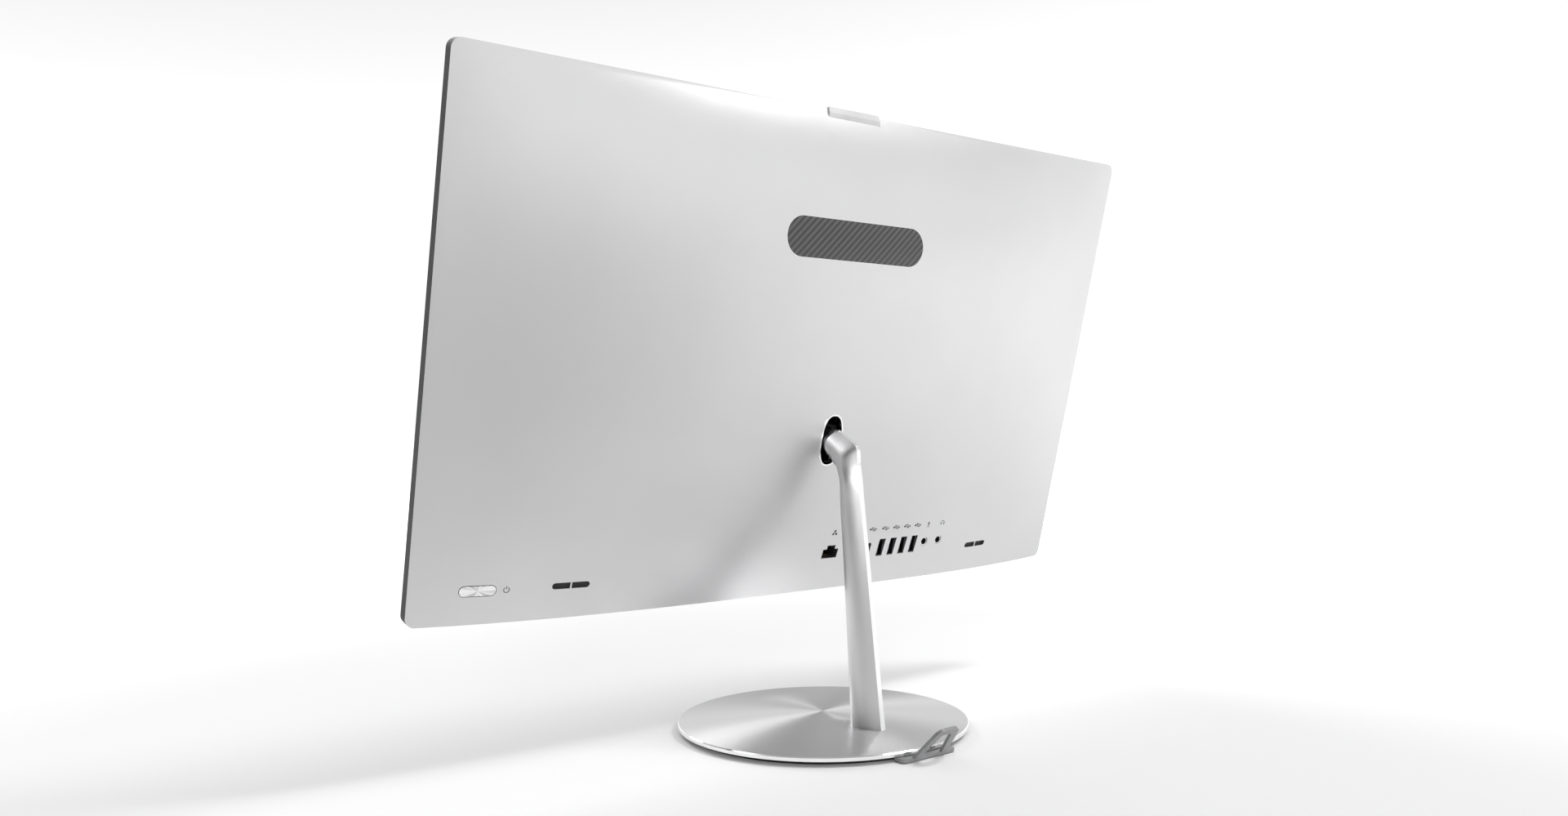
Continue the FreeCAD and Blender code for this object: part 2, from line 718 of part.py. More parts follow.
def hdmi_socket():
    half_w = HDMI_HALF_W - SOCKET_GAP
    half_h = HDMI_HALF_H - SOCKET_GAP
    top = socket_top(HDMI_X) - 0.7
    shell = box(HDMI_X - half_w, HDMI_X + half_w, BOARD_D1, top, PORT_S - half_h, PORT_S + half_h)
    room_w = half_w - SHELL_T
    room_h = half_h - SHELL_T
    room = box(HDMI_X - room_w, HDMI_X + room_w, BOARD_D1 + 1.5, FAR, PORT_S - room_h, PORT_S + room_h)
    tongue = box(HDMI_X - 0.6, HDMI_X + 0.6, BOARD_D1, top - 0.8, PORT_S - 5.5, PORT_S + 5.5)
    return join([shell.cut(room), tongue])


def dc_jack():
    top = skin_depth(DC_X, PORT_S - 6) - WALL - PORT_GAP
    collar_r = DC_WINDOW_R - SOCKET_GAP
    body = box(DC_X - 4.5, DC_X + 4.5, BOARD_D1, top, PORT_S - 5.5, PORT_S + 5.5)
    collar = rod(collar_r, vec(DC_X, top - 1, PORT_S), vec(0, 1, 0), 2.2)
    room = rod(collar_r - 0.65, vec(DC_X, BOARD_D1 + 2, PORT_S), vec(0, 1, 0), FAR)
    pin = rod(DC_PIN_R, vec(DC_X, BOARD_D1 + 1, PORT_S), vec(0, 1, 0), top - BOARD_D1 - 2)
    return join([join([body, collar]).cut(room), pin])


def audio_jack(x):
    """Round barrel on a small block, bored for a 3.5 mm plug."""
    top = skin_depth(x, JACK_S) - 0.5
    block_top = skin_depth(x, JACK_S - 6) - WALL - 1.0
    block = box(x - 3.6, x + 3.6, BOARD_D1, block_top, JACK_S - 6, JACK_S + 6)
    barrel = rod(JACK_BARREL_R, vec(x, block_top - 1, JACK_S), vec(0, 1, 0), top - block_top + 1)
    bore = rod(JACK_R, vec(x, BOARD_D1 + 1, JACK_S), vec(0, 1, 0), FAR)
    return join([block, barrel]).cut(bore)


# ---- Hinge ----

def hinge_bracket(side):
    """Ear round the hinge shaft on a foot plate screwed to the chassis."""
    x0 = min(side * EAR_IN, side * EAR_OUT)
    boss = rod(EAR_R, vec(x0, HINGE_D, HINGE_S), vec(1, 0, 0), EAR_T)
    web = box(x0, x0 + EAR_T, PLATE_T, HINGE_D, HINGE_S - EAR_R, HINGE_S + EAR_R)
    foot_x0 = min(side * EAR_IN, side * (EAR_IN + BRACKET_LEN))
    foot = box(foot_x0, foot_x0 + BRACKET_LEN, PLATE_T, PLATE_T + BRACKET_T, HINGE_S - 17, HINGE_S + 20)
    bore = rod(SHAFT_R + SHAFT_CLEARANCE, vec(x0 - 1, HINGE_D, HINGE_S), vec(1, 0, 0), EAR_T + 2)
    return join([boss, web, foot]).cut(bore)


def bracket_screws():
    screws = []
    for side in (-1, 1):
        for x in (12, 25):
            for s in (-12, 15):
                screws.append(screw(side * (EAR_IN + x), HINGE_S + s, PLATE_T + BRACKET_T, BRACKET_SCREW))
    return screws


def along_x(radius, x0, x1):
    return rod(radius, vec(x0, HINGE_D, HINGE_S), vec(1, 0, 0), x1 - x0)


def hinge_shaft():
    end = EAR_OUT + WASHER_GAP + WASHER_T + NUT_T + 1.0
    return along_x(SHAFT_R, -end, end)


def hinge_washers():
    """Stacks of spring washers that press on the ears and hold the tilt."""
    rings = []
    for side in (-1, 1):
        start = EAR_OUT + WASHER_GAP
        x0 = min(side * start, side * (start + WASHER_T))
        ring = along_x(EAR_R - 0.5, x0, x0 + WASHER_T)
        rings.append(ring.cut(along_x(SHAFT_R, x0 - 1, x0 + WASHER_T + 1)))
    return rings


def hinge_nuts():
    nuts = []
    for side in (-1, 1):
        start = EAR_OUT + WASHER_GAP + WASHER_T
        x0 = min(side * start, side * (start + NUT_T))
        corners = []
        for i in range(7):
            a = math.pi / 3 * i
            corners.append(vec(x0, HINGE_D + NUT_R * math.cos(a), HINGE_S + NUT_R * math.sin(a)))
        nut = Part.Face(Part.makePolygon(corners)).extrude(vec(NUT_T, 0, 0))
        nuts.append(nut.cut(along_x(SHAFT_R, x0 - 1, x0 + NUT_T + 1)))
    return nuts


# ---- Neck ----

def arm_point(back, below=0.0):
    """Point back mm out of the slot along the arm, below mm under its axis, in the desk frame."""
    slot = place(Part.Vertex(vec(0, skin_depth(0, SLOT_S), SLOT_S + ARM_LIFT))).Point
    rise = math.radians(ARM_RISE)
    y = slot.y + back * math.cos(rise) - below * math.sin(rise)
    z = slot.z - back * math.sin(rise) - below * math.cos(rise)
    return y, z


def neck_section(cy, cz, angle, depth, half_w):
    """Egg section with a flat rear facet; angle turns its rear from level towards up."""
    widest = 0.42
    profile = []
    for i in range(6):
        a = math.pi / 2 * i / 5
        profile.append((widest * (1 - math.cos(a)), half_w * math.sin(a)))
    facet = FACET_HALF_W * half_w / NECK_HALF_W
    for i in range(1, 7):
        t = i / 6.0
        profile.append((widest + (1 - widest) * t, facet + (half_w - facet) * math.cos(math.pi / 2 * t)))
    ay = math.cos(math.radians(angle))
    az = math.sin(math.radians(angle))

    def point(t, x):
        b = (t - 0.5) * depth
        return vec(x, cy + b * ay, cz + b * az)

    right = [point(t, x) for t, x in profile]
    left = [point(t, -x) for t, x in profile[1:]]
    around = list(reversed(left)) + right
    curve = Part.BSplineCurve()
    curve.interpolate(around)
    flat = Part.LineSegment(around[-1], around[0])
    return Part.Wire([curve.toShape(), flat.toShape()])


def neck_body():
    elbow_y, elbow_z = arm_point(ARM_LEN, ARM_TAPER)
    rise = 90 - ARM_RISE
    sections = []
    column_top = elbow_z - COLUMN_DOWN
    for z in (NECK_SEAT_Z, 16, 28, 46, 70, 100, 130, column_top - 12, column_top):
        down = column_top - z
        y = elbow_y + COLUMN_BACK + NECK_LEAN * down
        depth = NECK_D + NECK_FLARE * down / (column_top - NECK_SEAT_Z)
        half_w = NECK_HALF_W + FOOT_WIDER * math.exp(-(z - RIM_TOP) / 30)
        sections.append(neck_section(y, z, 0, depth, half_w))
    for dy, dz, turn, deeper, slimmer in ELBOW_SECTIONS:
        sections.append(neck_section(elbow_y + dy, elbow_z + dz, turn, NECK_D + deeper, NECK_HALF_W - slimmer))
    arm_back = ARM_LEN - 7.5
    y, z = arm_point(arm_back + 1.5, ARM_TAPER)
    sections.append(neck_section(y, z - 0.2, 54, ARM_D + 2 * ARM_TAPER + 0.6, ARM_HALF_W + 0.4))
    for back in (arm_back - 3.0, 5.0, NOSE_LEN - NOSE_IN):
        lower = ARM_TAPER * back / ARM_LEN
        y, z = arm_point(back, lower)
        sections.append(neck_section(y, z, rise, ARM_D + 2 * lower, ARM_HALF_W + 0.02 * back))
    for left in (0.72, 0.45, 0.22, 0.07, 0.01):
        y, z = arm_point(NOSE_LEN * left - NOSE_IN)
        shrink = math.sqrt(1 - (1 - left) ** 2)
        sections.append(neck_section(y, z, rise, ARM_D * shrink, ARM_HALF_W * shrink))
    return Part.makeLoft(sections, True, False)


def hinge_tongue():
    """Steel tongue from inside the neck's nose to the hinge shaft."""
    boss = Part.makeCylinder(EAR_R, TONGUE_T, vec(-TONGUE_T / 2, HINGE_Y, HINGE_Z), vec(1, 0, 0))
    y, z = arm_point(TONGUE_IN)
    length = math.hypot(y - HINGE_Y, z - HINGE_Z)
    angle = math.degrees(math.atan2(z - HINGE_Z, y - HINGE_Y))
    bar = box(-TONGUE_T / 2, TONGUE_T / 2, 0, length, -TONGUE_H / 2, TONGUE_H / 2)
    bar.rotate(vec(0, 0, 0), vec(1, 0, 0), angle)
    bar.translate(vec(0, HINGE_Y, HINGE_Z))
    hole = Part.makeCylinder(SHAFT_R, TONGUE_T + 2, vec(-TONGUE_T / 2 - 1, HINGE_Y, HINGE_Z), vec(1, 0, 0))
    return join([boss, bar]).cut(hole)


def tongue_pin():
    y, z = arm_point(PIN_IN)
    half = ARM_HALF_W - 2.5
    return Part.makeCylinder(PIN_R, 2 * half, vec(-half, y, z), vec(1, 0, 0))


# ---- Stand ----

def base_disc():
    """Spun disc: domed top, chamfered rim, stepped underside."""
    reach = DISC_R - RIM_CHAMFER
    drop = DOME_TOP - RIM_TOP
    radius = (reach * reach + drop * drop) / (2 * drop)
    mid = reach / 2
    mid_z = DOME_TOP - radius + math.sqrt(radius * radius - mid * mid)
    top = Part.Arc(vec(0, 0, DOME_TOP), vec(mid, 0, mid_z), vec(reach, 0, RIM_TOP)).toShape()
    outline = [vec(reach, 0, RIM_TOP), vec(DISC_R, 0, RIM_TOP - RIM_CHAMFER),
               vec(DISC_R, 0, RIM_BOTTOM + 0.4), vec(reach, 0, RIM_BOTTOM),
               vec(WEIGHT_R + 0.3, 0, RIM_BOTTOM), vec(WEIGHT_R + 0.3, 0, WEIGHT_Z1),
               vec(0, 0, WEIGHT_Z1), vec(0, 0, DOME_TOP)]
    edges = [top]
    for a, b in zip(outline[:-1], outline[1:]):
        edges.append(Part.LineSegment(a, b).toShape())
    face = Part.Face(Part.Wire(edges))
    return face.revolve(vec(0, 0, 0), vec(0, 0, 1), 360)


def neck_screws():
    screws = []
    for y in NECK_SCREW_Y:
        head = Part.makeCylinder(NECK_SCREW_HEAD_R, 2.4, vec(0, y, WEIGHT_Z0 + 0.2))
        shank = Part.makeCylinder(NECK_SCREW_R, 16, vec(0, y, WEIGHT_Z0 + 1))
        screws.append(join([head, shank]))
    return screws


def base_weight():
    return Part.makeCylinder(WEIGHT_R, WEIGHT_Z1 - WEIGHT_Z0, vec(0, 0, WEIGHT_Z0))


def foot_ring():
    outer = Part.makeCylinder(RING_FOOT_R1, RIM_BOTTOM)
    return outer.cut(Part.makeCylinder(RING_FOOT_R0, RIM_BOTTOM))


def clip_arch(half_base, half_top, rise_to, thick, d):
    """Trapezoid arch outline with rounded shoulders, in its own flat plane."""
    corners = [(-half_base, 0.0), (-half_top, rise_to), (half_top, rise_to), (half_base, 0.0)]
    wire = Part.makePolygon([vec(x, d, z) for x, z in corners] + [vec(corners[0][0], d, corners[0][1])])
    solid = Part.Face(wire).extrude(vec(0, thick, 0))
    shoulders = [e for e in solid.Edges if abs(e.BoundBox.YLength - thick) < 1e-6
                 and e.BoundBox.ZMin > rise_to - 0.01]
    return solid.makeFillet(half_top * 0.6, shoulders)


def cable_clip():
    """Leaning arch behind the rim that cables pass through, on a bar under the rim."""
    slope = math.hypot(CLIP_REACH, CLIP_RISE)
    outer = clip_arch(CLIP_BASE_HALF, CLIP_TOP_HALF, slope, CLIP_T, 0)
    inner = clip_arch(CLIP_BASE_HALF - CLIP_BAND, CLIP_TOP_HALF - CLIP_BAND, slope - CLIP_BAND, CLIP_T, 0)
    arch = outer.cut(inner)
    lean = math.degrees(math.atan2(CLIP_REACH, CLIP_RISE))
    arch.rotate(vec(0, 0, 0), vec(1, 0, 0), -lean)
    arch.translate(vec(0, CLIP_Y, CLIP_Z))
    bar = box(-CLIP_BAR_HALF, CLIP_BAR_HALF, CLIP_BAR_Y0, CLIP_Y + 3.6, CLIP_Z, CLIP_Z + CLIP_BAR_T)
    ends = [e for e in bar.Edges if abs(e.BoundBox.ZLength - CLIP_BAR_T) < 1e-6]
    bar = bar.makeFillet(2.5, ends)
    floor = box(-FAR, FAR, 0, 2 * DISC_R, -FAR, CLIP_Z)
    return join([arch.cut(floor), bar])


def clip_screws():
    y = CLIP_BAR_Y0 + 2.8
    length = RIM_BOTTOM - CLIP_Z + 1.2
    return [Part.makeCylinder(CLIP_SCREW_R, length, vec(side * CLIP_SCREW_X, y, CLIP_Z)) for side in (-1, 1)]


def build_stand():
    neck = neck_body()
    tongue = hinge_tongue()
    pin = tongue_pin()
    screws = neck_screws()
    neck_cut = neck.cut([tongue, pin] + screws)
    disc = base_disc().cut([neck] + screws + clip_screws())
    clip = cable_clip().cut(clip_screws())
    pad = Part.makeCylinder(PAD_R, WEIGHT_Z0)
    save("base_disc", disc)
    save("base_weight", base_weight().cut(screws))
    save("foot_ring", foot_ring())
    save("centre_pad", pad)
    save("neck", neck_cut)
    save("neck_screws", group(screws))
    save("cable_clip", clip)
    save("clip_screws", group(clip_screws()))
    save("hinge_tongue", tongue.cut(pin))
    save("tongue_pin", pin)
    save("hinge_shaft", place(hinge_shaft()))
    save("hinge_washers", place(group(hinge_washers())))
    save("hinge_nuts", place(group(hinge_nuts())))


def build_display():
    plate_screws = chassis_screws()
    bracket_bolts = bracket_screws()
    board_bolts = board_screws()
    feet = standoffs()
    save("rear_cover", place(rear_cover()))
    save("front_frame", place(front_frame().cut(plate_screws)))
    save("chin_trim", place(chin_trim()))
    save("screen_panel", place(screen_panel()))
    save("backlight_tray", place(backlight_tray().cut(bracket_bolts)))
    save("chassis_plate", place(chassis_plate().cut(plate_screws + bracket_bolts)))
    save("chassis_screws", place(group(plate_screws)))
    save("standoffs", place(group([f.cut(board_bolts) for f in feet])))
    save("motherboard", place(motherboard().cut(board_bolts)))
    save("board_screws", place(group(board_bolts)))
    save("heatsink", place(heatsink()))
    save("heat_pipe", place(heat_pipe()))
    save("cooling_fins", place(cooling_fins()))
    save("fan_housing", place(fan_housing()))
    save("memory_module", place(on_board(MEMORY)))
    save("wifi_card", place(on_board(WIFI_CARD)))
    save("solid_state_drive", place(on_board(SOLID_STATE)))
    save("hard_drive", place(hard_drive()))
    save("speaker_left", place(speaker(1)))
    save("speaker_right", place(speaker(-1)))
    save("slot_ring", place(slot_ring()))
    save("hinge_brackets", place(group([hinge_bracket(side).cut(bracket_bolts) for side in (-1, 1)])))
    save("bracket_screws", place(group(bracket_bolts)))
    save("lan_socket", place(lan_socket()))
    save("dc_jack", place(dc_jack()))
    save("hdmi_socket", place(hdmi_socket()))
    save("usb_c_socket", place(usb_c_socket()))
    save("usb_a_shells", place(group(usb_a_all(usb_a_shell))))
    save("usb_a_tongues", place(group(usb_a_all(usb_a_tongue))))
    save("mic_jack", place(audio_jack(MIC_X)))
    save("headphone_jack", place(audio_jack(HEADPHONE_X)))
    save("side_slot_liners", place(group([side_slot_liner(side) for side in (-1, 1)])))
    save("badge", place(badge_blank()))
    save("bottom_grille", place(bottom_grille()))
    save("power_switch", place(power_switch()))
    save("camera_guide", place(camera_guide()))


def build_moving():
    save("power_button", place(power_button()))
    save("fan_rotor", place(fan_rotor()))
    save("camera_sled", place(camera_carriage()))
    save("camera_window", place(camera_window()))
    save("camera_lens", place(camera_lens()))


os.makedirs("parts", exist_ok=True)
build_stand()
build_display()
build_moving()
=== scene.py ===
"""Looks of a slim all in one PC on a round disc stand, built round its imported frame."""

import json
import math

import bmesh
import bpy
from bpy.props import FloatProperty, FloatVectorProperty, IntProperty
from mathutils import Matrix, Vector
from mathutils.bvhtree import BVHTree


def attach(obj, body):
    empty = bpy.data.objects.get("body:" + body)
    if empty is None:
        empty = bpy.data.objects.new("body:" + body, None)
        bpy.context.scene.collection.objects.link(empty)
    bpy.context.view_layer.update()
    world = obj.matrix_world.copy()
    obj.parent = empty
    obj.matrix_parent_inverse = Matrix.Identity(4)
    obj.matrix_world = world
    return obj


bl_info = {
    "name": "All in One PC Looks",
    "version": (1, 0, 0),
    "blender": (4, 5, 0),
    "location": "3D View > Sidebar > All in One PC",
    "description": "Finishes and small pieces for an all in one PC on a disc stand",
    "category": "Object",
}

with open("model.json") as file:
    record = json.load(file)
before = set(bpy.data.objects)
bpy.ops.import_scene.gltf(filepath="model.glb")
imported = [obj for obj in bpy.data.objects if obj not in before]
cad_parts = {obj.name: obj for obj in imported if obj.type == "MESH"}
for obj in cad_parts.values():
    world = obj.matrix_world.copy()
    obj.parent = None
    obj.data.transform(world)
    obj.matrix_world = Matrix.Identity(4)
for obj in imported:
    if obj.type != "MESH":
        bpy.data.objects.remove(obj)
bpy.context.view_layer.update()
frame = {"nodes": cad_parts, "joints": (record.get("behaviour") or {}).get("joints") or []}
NODES = frame["nodes"]


def joint_axis(name):
    joint = next(j for j in frame["joints"] if j["name"] == name)
    return Vector(joint["axis"]).normalized()


ACROSS = Vector((1, 0, 0))
UP = joint_axis("camera_lift")          # up the leaning panel
BACK = -joint_axis("button_press")      # out of the rear cover


def spans(node, axis):
    """Lowest and highest reach of a node along an axis, in metres."""
    reach = [v.co.dot(axis) for v in NODES[node].data.vertices]
    return min(reach), max(reach)


BODY_FOOT = spans("front_frame", UP)[0]
FRAME_BACK = spans("front_frame", BACK)[1]


def on_body(x, s, d):
    """Desk-frame point at x across, s up the panel and d behind the frame, in metres."""
    return ACROSS * x + UP * (BODY_FOOT + s) + BACK * (FRAME_BACK + d)


def middle(node, axis):
    low, high = spans(node, axis)
    return (low + high) / 2


def height_of(node):
    """Middle of a node above the panel's bottom edge."""
    return middle(node, UP) - BODY_FOOT


COVER_TREE = BVHTree.FromPolygons([v.co for v in NODES["rear_cover"].data.vertices],
                                  [p.vertices for p in NODES["rear_cover"].data.polygons])


def on_skin(x, s, lift=0.0):
    """Point and outward normal on the rear cover, lift metres above its skin."""
    start = on_body(x, s, 0.2)
    point, normal, _, _ = COVER_TREE.ray_cast(start, -BACK)
    if point is None:
        raise RuntimeError(f"no cover skin at {x:.3f}, {s:.3f}")
    if normal.dot(BACK) < 0:
        normal = -normal
    return point + normal * lift, normal


# ---- Named values ----

# Brightness of the sky low down, towards four sides, then half way up and overhead.
SKY_LOW = {(-1, 0): 1.15, (0, -1): 1.05, (0, 1): 1.1, (1, 0): 0.1}
SKY_MIDDLE = {(-1, 0): 0.8, (0, -1): 0.6, (0, 1): 0.85, (1, 0): 0.0}
SKY_TOP = 0.45
# Sine of the elevation at which the middle of the sky sits, then how far each part of it reaches.
SKY_MIDDLE_AT = 0.5
SKY_MIDDLE_REACH = 0.32
SKY_LOW_REACH = 0.3
SKY_TOP_REACH = 0.35
# Painted shade: the floor's colour darkens towards grey between two distances along this way, on the near
# side of the stand.
FLOOR_PAINTED_SHADE_WAY = (0.61, 0.79, 0.0)
FLOOR_PAINTED_SHADE_SPAN = (0.2, 0.7)
FLOOR_GLOW = (0.5, 2.6)     # distances between which the floor starts to glow like a lit sweep
FLOOR_GLOW_STRENGTH = 0.75
FLOOR_PAINTED_SHADE_LEVEL = 0.5      # brightness left where the painted shade on the floor is deepest
FLOOR_RADIUS = 40.0
SENSOR_WIDTH = 36.0
LENS_SHIFT = (0.0090, 0.0200)
LAMP_TARGET = (0.0, 0.0, 0.2)
# Name, place, diameter and share of the key light's power.
LAMPS = (
    ("key", (-1.2, 0.9, 2.2), 0.7, 0.85),
    ("back", (0.0, -2.2, 1.6), 1.4, 0.8),
    ("near", (1.3, 1.5, 0.7), 0.5, 0.25),
)

# Where second finishes start and end, in metres.
LINING_FROM = 0.0004        # the cover is lined from here behind the frame
PAINTED_RIM = 0.0021        # the cover's edge is painted up to here behind the frame
FACET_HALF = 0.0017         # half the width of the neck's bright rear facet
RIM_CUT = 0.0008            # width of the bright cut round the disc
RIM_CUT_FOOT = 0.003        # lowest point of that cut
BORE_RADIUS = 0.0019        # faces this near the middle of an audio socket are its bore
BORE_BELOW = 0.0001
THROAT_RADIUS = 0.0024      # black part of an audio socket's rim

# Network socket contacts, in metres.
CONTACT_COUNT = 8
CONTACT_PITCH = 0.00102
CONTACT_HALF_WIDTH = 0.00018
CONTACT_THICK = 0.0003
CONTACT_RISE = 0.0006       # height of a contact over the socket's floor, and of its wave
CONTACT_WAVE = 300          # turns of that wave, in radians per metre
CONTACT_DEEP = 0.0108       # where a contact starts, below the socket's mouth
CONTACT_STEPS = 11
CONTACT_STEP = 0.0008
CONTACT_FLOOR = 0.0024      # socket floor above the bottom of its housing

# Printed marks, in metres.
PRINT_LIFT = 0.00001
PRINT_T = 0.00006
MARK_RISE = 0.015           # line of the marks above the middle of the sockets
USB_COUNT = 4
USB_SHELL_WIDTH = 0.0053
POWER_MARK_GAP = 0.0045     # from the button's end to the middle of its mark

# Lens ring and microphone dot of the pop-up camera, in metres.
LENS_RING_RADII = (0.0030, 0.0024)
LENS_RING_BACK = -0.00012
LENS_RING_THICK = 0.00014
DOT_RADIUS = 0.0007
DOT_AT = (0.0085, 0.0)
DOT_THICK = 0.00013

# Chips along the board, in metres.
CHIP_SIZES = ((0.010, 0.010), (0.006, 0.008), (0.004, 0.004), (0.008, 0.005))
CHIP_COUNT = 9
CHIP_WIDEST = 0.006
CHIP_THICK = 0.0009
CHIP_FIRST = (0.012, 0.030)     # from the board's edge, and up from its foot
CHIP_PITCH = 0.0075
CHIP_STAGGER = 0.004
CHIP_EDGE = 0.01                # kept free at the board's far edge


# ---- Settings ----

class StageSettings(bpy.types.PropertyGroup):
    """Camera, floor and light."""

    camera_place: FloatVectorProperty(
        name="Camera place", description="Where the camera stands", subtype="TRANSLATION", unit="LENGTH",
        default=(0.5154, 0.6149, 0.2021))
    camera_yaw: FloatProperty(
        name="Camera yaw", description="Heading of the view, counted from +X", subtype="ANGLE",
        default=math.radians(-127.63))
    camera_pitch: FloatProperty(
        name="Camera pitch", description="View above level", subtype="ANGLE",
        default=math.radians(-0.62))
    camera_roll: FloatProperty(
        name="Camera roll", description="Turn about the view", subtype="ANGLE",
        default=math.radians(-0.80))
    lens: FloatProperty(
        name="Lens", description="Focal length on a 36 mm sensor, in millimetres", default=27.465)
    floor_colour: FloatVectorProperty(
        name="Floor", description="Colour of the floor", subtype="COLOR", default=(0.94, 0.94, 0.94))
    key_power: FloatProperty(
        name="Key light", description="Power of the main soft light, in watts", default=30.0)
    sky: FloatProperty(
        name="Sky", description="Strength of the even light all round", default=1.0)


class MetalSettings(bpy.types.PropertyGroup):
    """Colours and grain of the metal parts."""

    cover_colour: FloatVectorProperty(
        name="Cover", description="Colour of the blasted metal", subtype="COLOR", default=(0.66, 0.66, 0.665))
    neck_colour: FloatVectorProperty(
        name="Neck", description="Colour of the neck's metal", subtype="COLOR", default=(0.7, 0.7, 0.705))
    disc_colour: FloatVectorProperty(
        name="Disc", description="Colour of the spun disc", subtype="COLOR", default=(0.54, 0.54, 0.545))
    button_colour: FloatVectorProperty(
        name="Button", description="Colour of the spun button", subtype="COLOR", default=(0.93, 0.93, 0.93))
    clip_colour: FloatVectorProperty(
        name="Cable clip", description="Colour of the painted clip", subtype="COLOR",
        default=(0.25, 0.25, 0.255))
    blast_grain: FloatProperty(
        name="Blast grain", description="Size of the blasted grain", unit="LENGTH",
        default=0.0005, precision=5)
    spin_pitch: FloatProperty(
        name="Spin pitch", description="Distance between turned lines", unit="LENGTH",
        default=0.0006, precision=5)


class DarkSettings(bpy.types.PropertyGroup):
    """Colours of the plastics, glass and prints."""

    frame_colour: FloatVectorProperty(
        name="Front frame", description="Colour of the front frame", subtype="COLOR",
        default=(0.03, 0.03, 0.032))
    chin_colour: FloatVectorProperty(
        name="Chin", description="Colour of the chin trim", subtype="COLOR", default=(0.16, 0.16, 0.165))
    print_colour: FloatVectorProperty(
        name="Prints", description="Colour of the small printed marks", subtype="COLOR",
        default=(0.05, 0.05, 0.052))
    hatch_count: IntProperty(
        name="Hatch lines", description="Fine lines across the badge", default=34, min=4, max=80)


# ---- Material workshop ----

def new_material(name):
    material = bpy.data.materials.new(name)
    material.use_nodes = True
    return material


class Workshop:
    """Small helper that adds nodes to one material."""

    def __init__(self, name, **shader_values):
        self.material = new_material(name)
        self.tree = self.material.node_tree
        self.shader = self.tree.nodes["Principled BSDF"]
        for key, value in shader_values.items():
            socket = self.shader.inputs[key.replace("_", " ").title().replace("Ior", "IOR")]
            socket.default_value = (*value, 1.0) if hasattr(value, "__len__") else value

    def add(self, kind, **values):
        node = self.tree.nodes.new(kind)
        for key, value in values.items():
            setattr(node, key, value)
        return node

    def link(self, out, into):
        self.tree.links.new(out, into)
        return out

    def place(self, centre=(0, 0, 0), axis=None):
        """Object coordinates moved to centre, with their Z turned along axis."""
        where = self.add("ShaderNodeTexCoord").outputs["Object"]
        if axis is None and not any(centre):
            return where
        mapping = self.add("ShaderNodeMapping", vector_type="TEXTURE")
        mapping.inputs["Location"].default_value = centre
        if axis is not None:
            turn = Vector((0, 0, 1)).rotation_difference(Vector(axis)).to_euler()
            mapping.inputs["Rotation"].default_value = turn
        self.link(where, mapping.inputs["Vector"])
        return mapping.outputs["Vector"]

    def noise(self, where, size, detail=2.0, rough=0.5):
        node = self.add("ShaderNodeTexNoise")
        node.inputs["Scale"].default_value = 1.0 / size
        node.inputs["Detail"].default_value = detail
        node.inputs["Roughness"].default_value = rough
        self.link(where, node.inputs["Vector"])
        return node.outputs["Fac"]

    def off_axis(self, where):
        """Distance from the Z axis."""
        flat = self.add("ShaderNodeVectorMath", operation="MULTIPLY")
        flat.inputs[1].default_value = (1, 1, 0)
        self.link(where, flat.inputs[0])
        length = self.add("ShaderNodeVectorMath", operation="LENGTH")
        self.link(flat.outputs["Vector"], length.inputs[0])
        return length.outputs["Value"]

    def rings(self, where, pitch, detail=3.0):
        """Noise that only changes with the distance from the Z axis."""
        noise = self.add("ShaderNodeTexNoise", noise_dimensions="1D")
        noise.inputs["Scale"].default_value = 1.0 / pitch
        noise.inputs["Detail"].default_value = detail
        self.link(self.off_axis(where), noise.inputs["W"])
        return noise.outputs["Fac"]

    def spread(self, value, low, high, start=0.3, end=0.7):
        """The value, from start to end, brought to low to high."""
        node = self.add("ShaderNodeMapRange")
        for key, number in (("From Min", start), ("From Max", end), ("To Min", low), ("To Max", high)):
            node.inputs[key].default_value = number
        self.link(value, node.inputs["Value"])
        return node.outputs["Result"]

    def tint(self, value, low, high, start=0.3, end=0.7):
        """Colour from low to high as the value goes from start to end."""
        node = self.add("ShaderNodeValToRGB")
        stops = node.color_ramp.elements
        stops[0].position = start
        stops[1].position = end
        stops[0].color = (*low, 1)
        stops[1].color = (*high, 1)
        self.link(value, node.inputs["Fac"])
        return self.link(node.outputs["Color"], self.shader.inputs["Base Color"])

    def bump(self, value, depth, strength=1.0, after=None):
        node = self.add("ShaderNodeBump")
        node.inputs["Strength"].default_value = strength
        node.inputs["Distance"].default_value = depth
        self.link(value, node.inputs["Height"])
        if after is not None:
            self.link(after, node.inputs["Normal"])
        self.link(node.outputs["Normal"], self.shader.inputs["Normal"])
        return node.outputs["Normal"]

    def roughness(self, value):
        self.link(value, self.shader.inputs["Roughness"])


def shade(colour, factor):
    return tuple(min(1.0, c * factor) for c in colour)


def blasted_metal(name, colour, grain, roughness=0.36, metallic=1.0):
    """Bead-blasted and anodised aluminium: even grain, faint clouding."""
    w = Workshop(name, metallic=metallic)
    where = w.place()
    fine = w.noise(where, grain, 3.0, 0.6)
    cloud = w.noise(where, 0.07, 2.0)
    w.tint(cloud, shade(colour, 0.985), shade(colour, 1.015))
    w.roughness(w.spread(fine, roughness - 0.04, roughness + 0.04))
    w.bump(fine, grain * 0.05, 0.35)
    return w.material


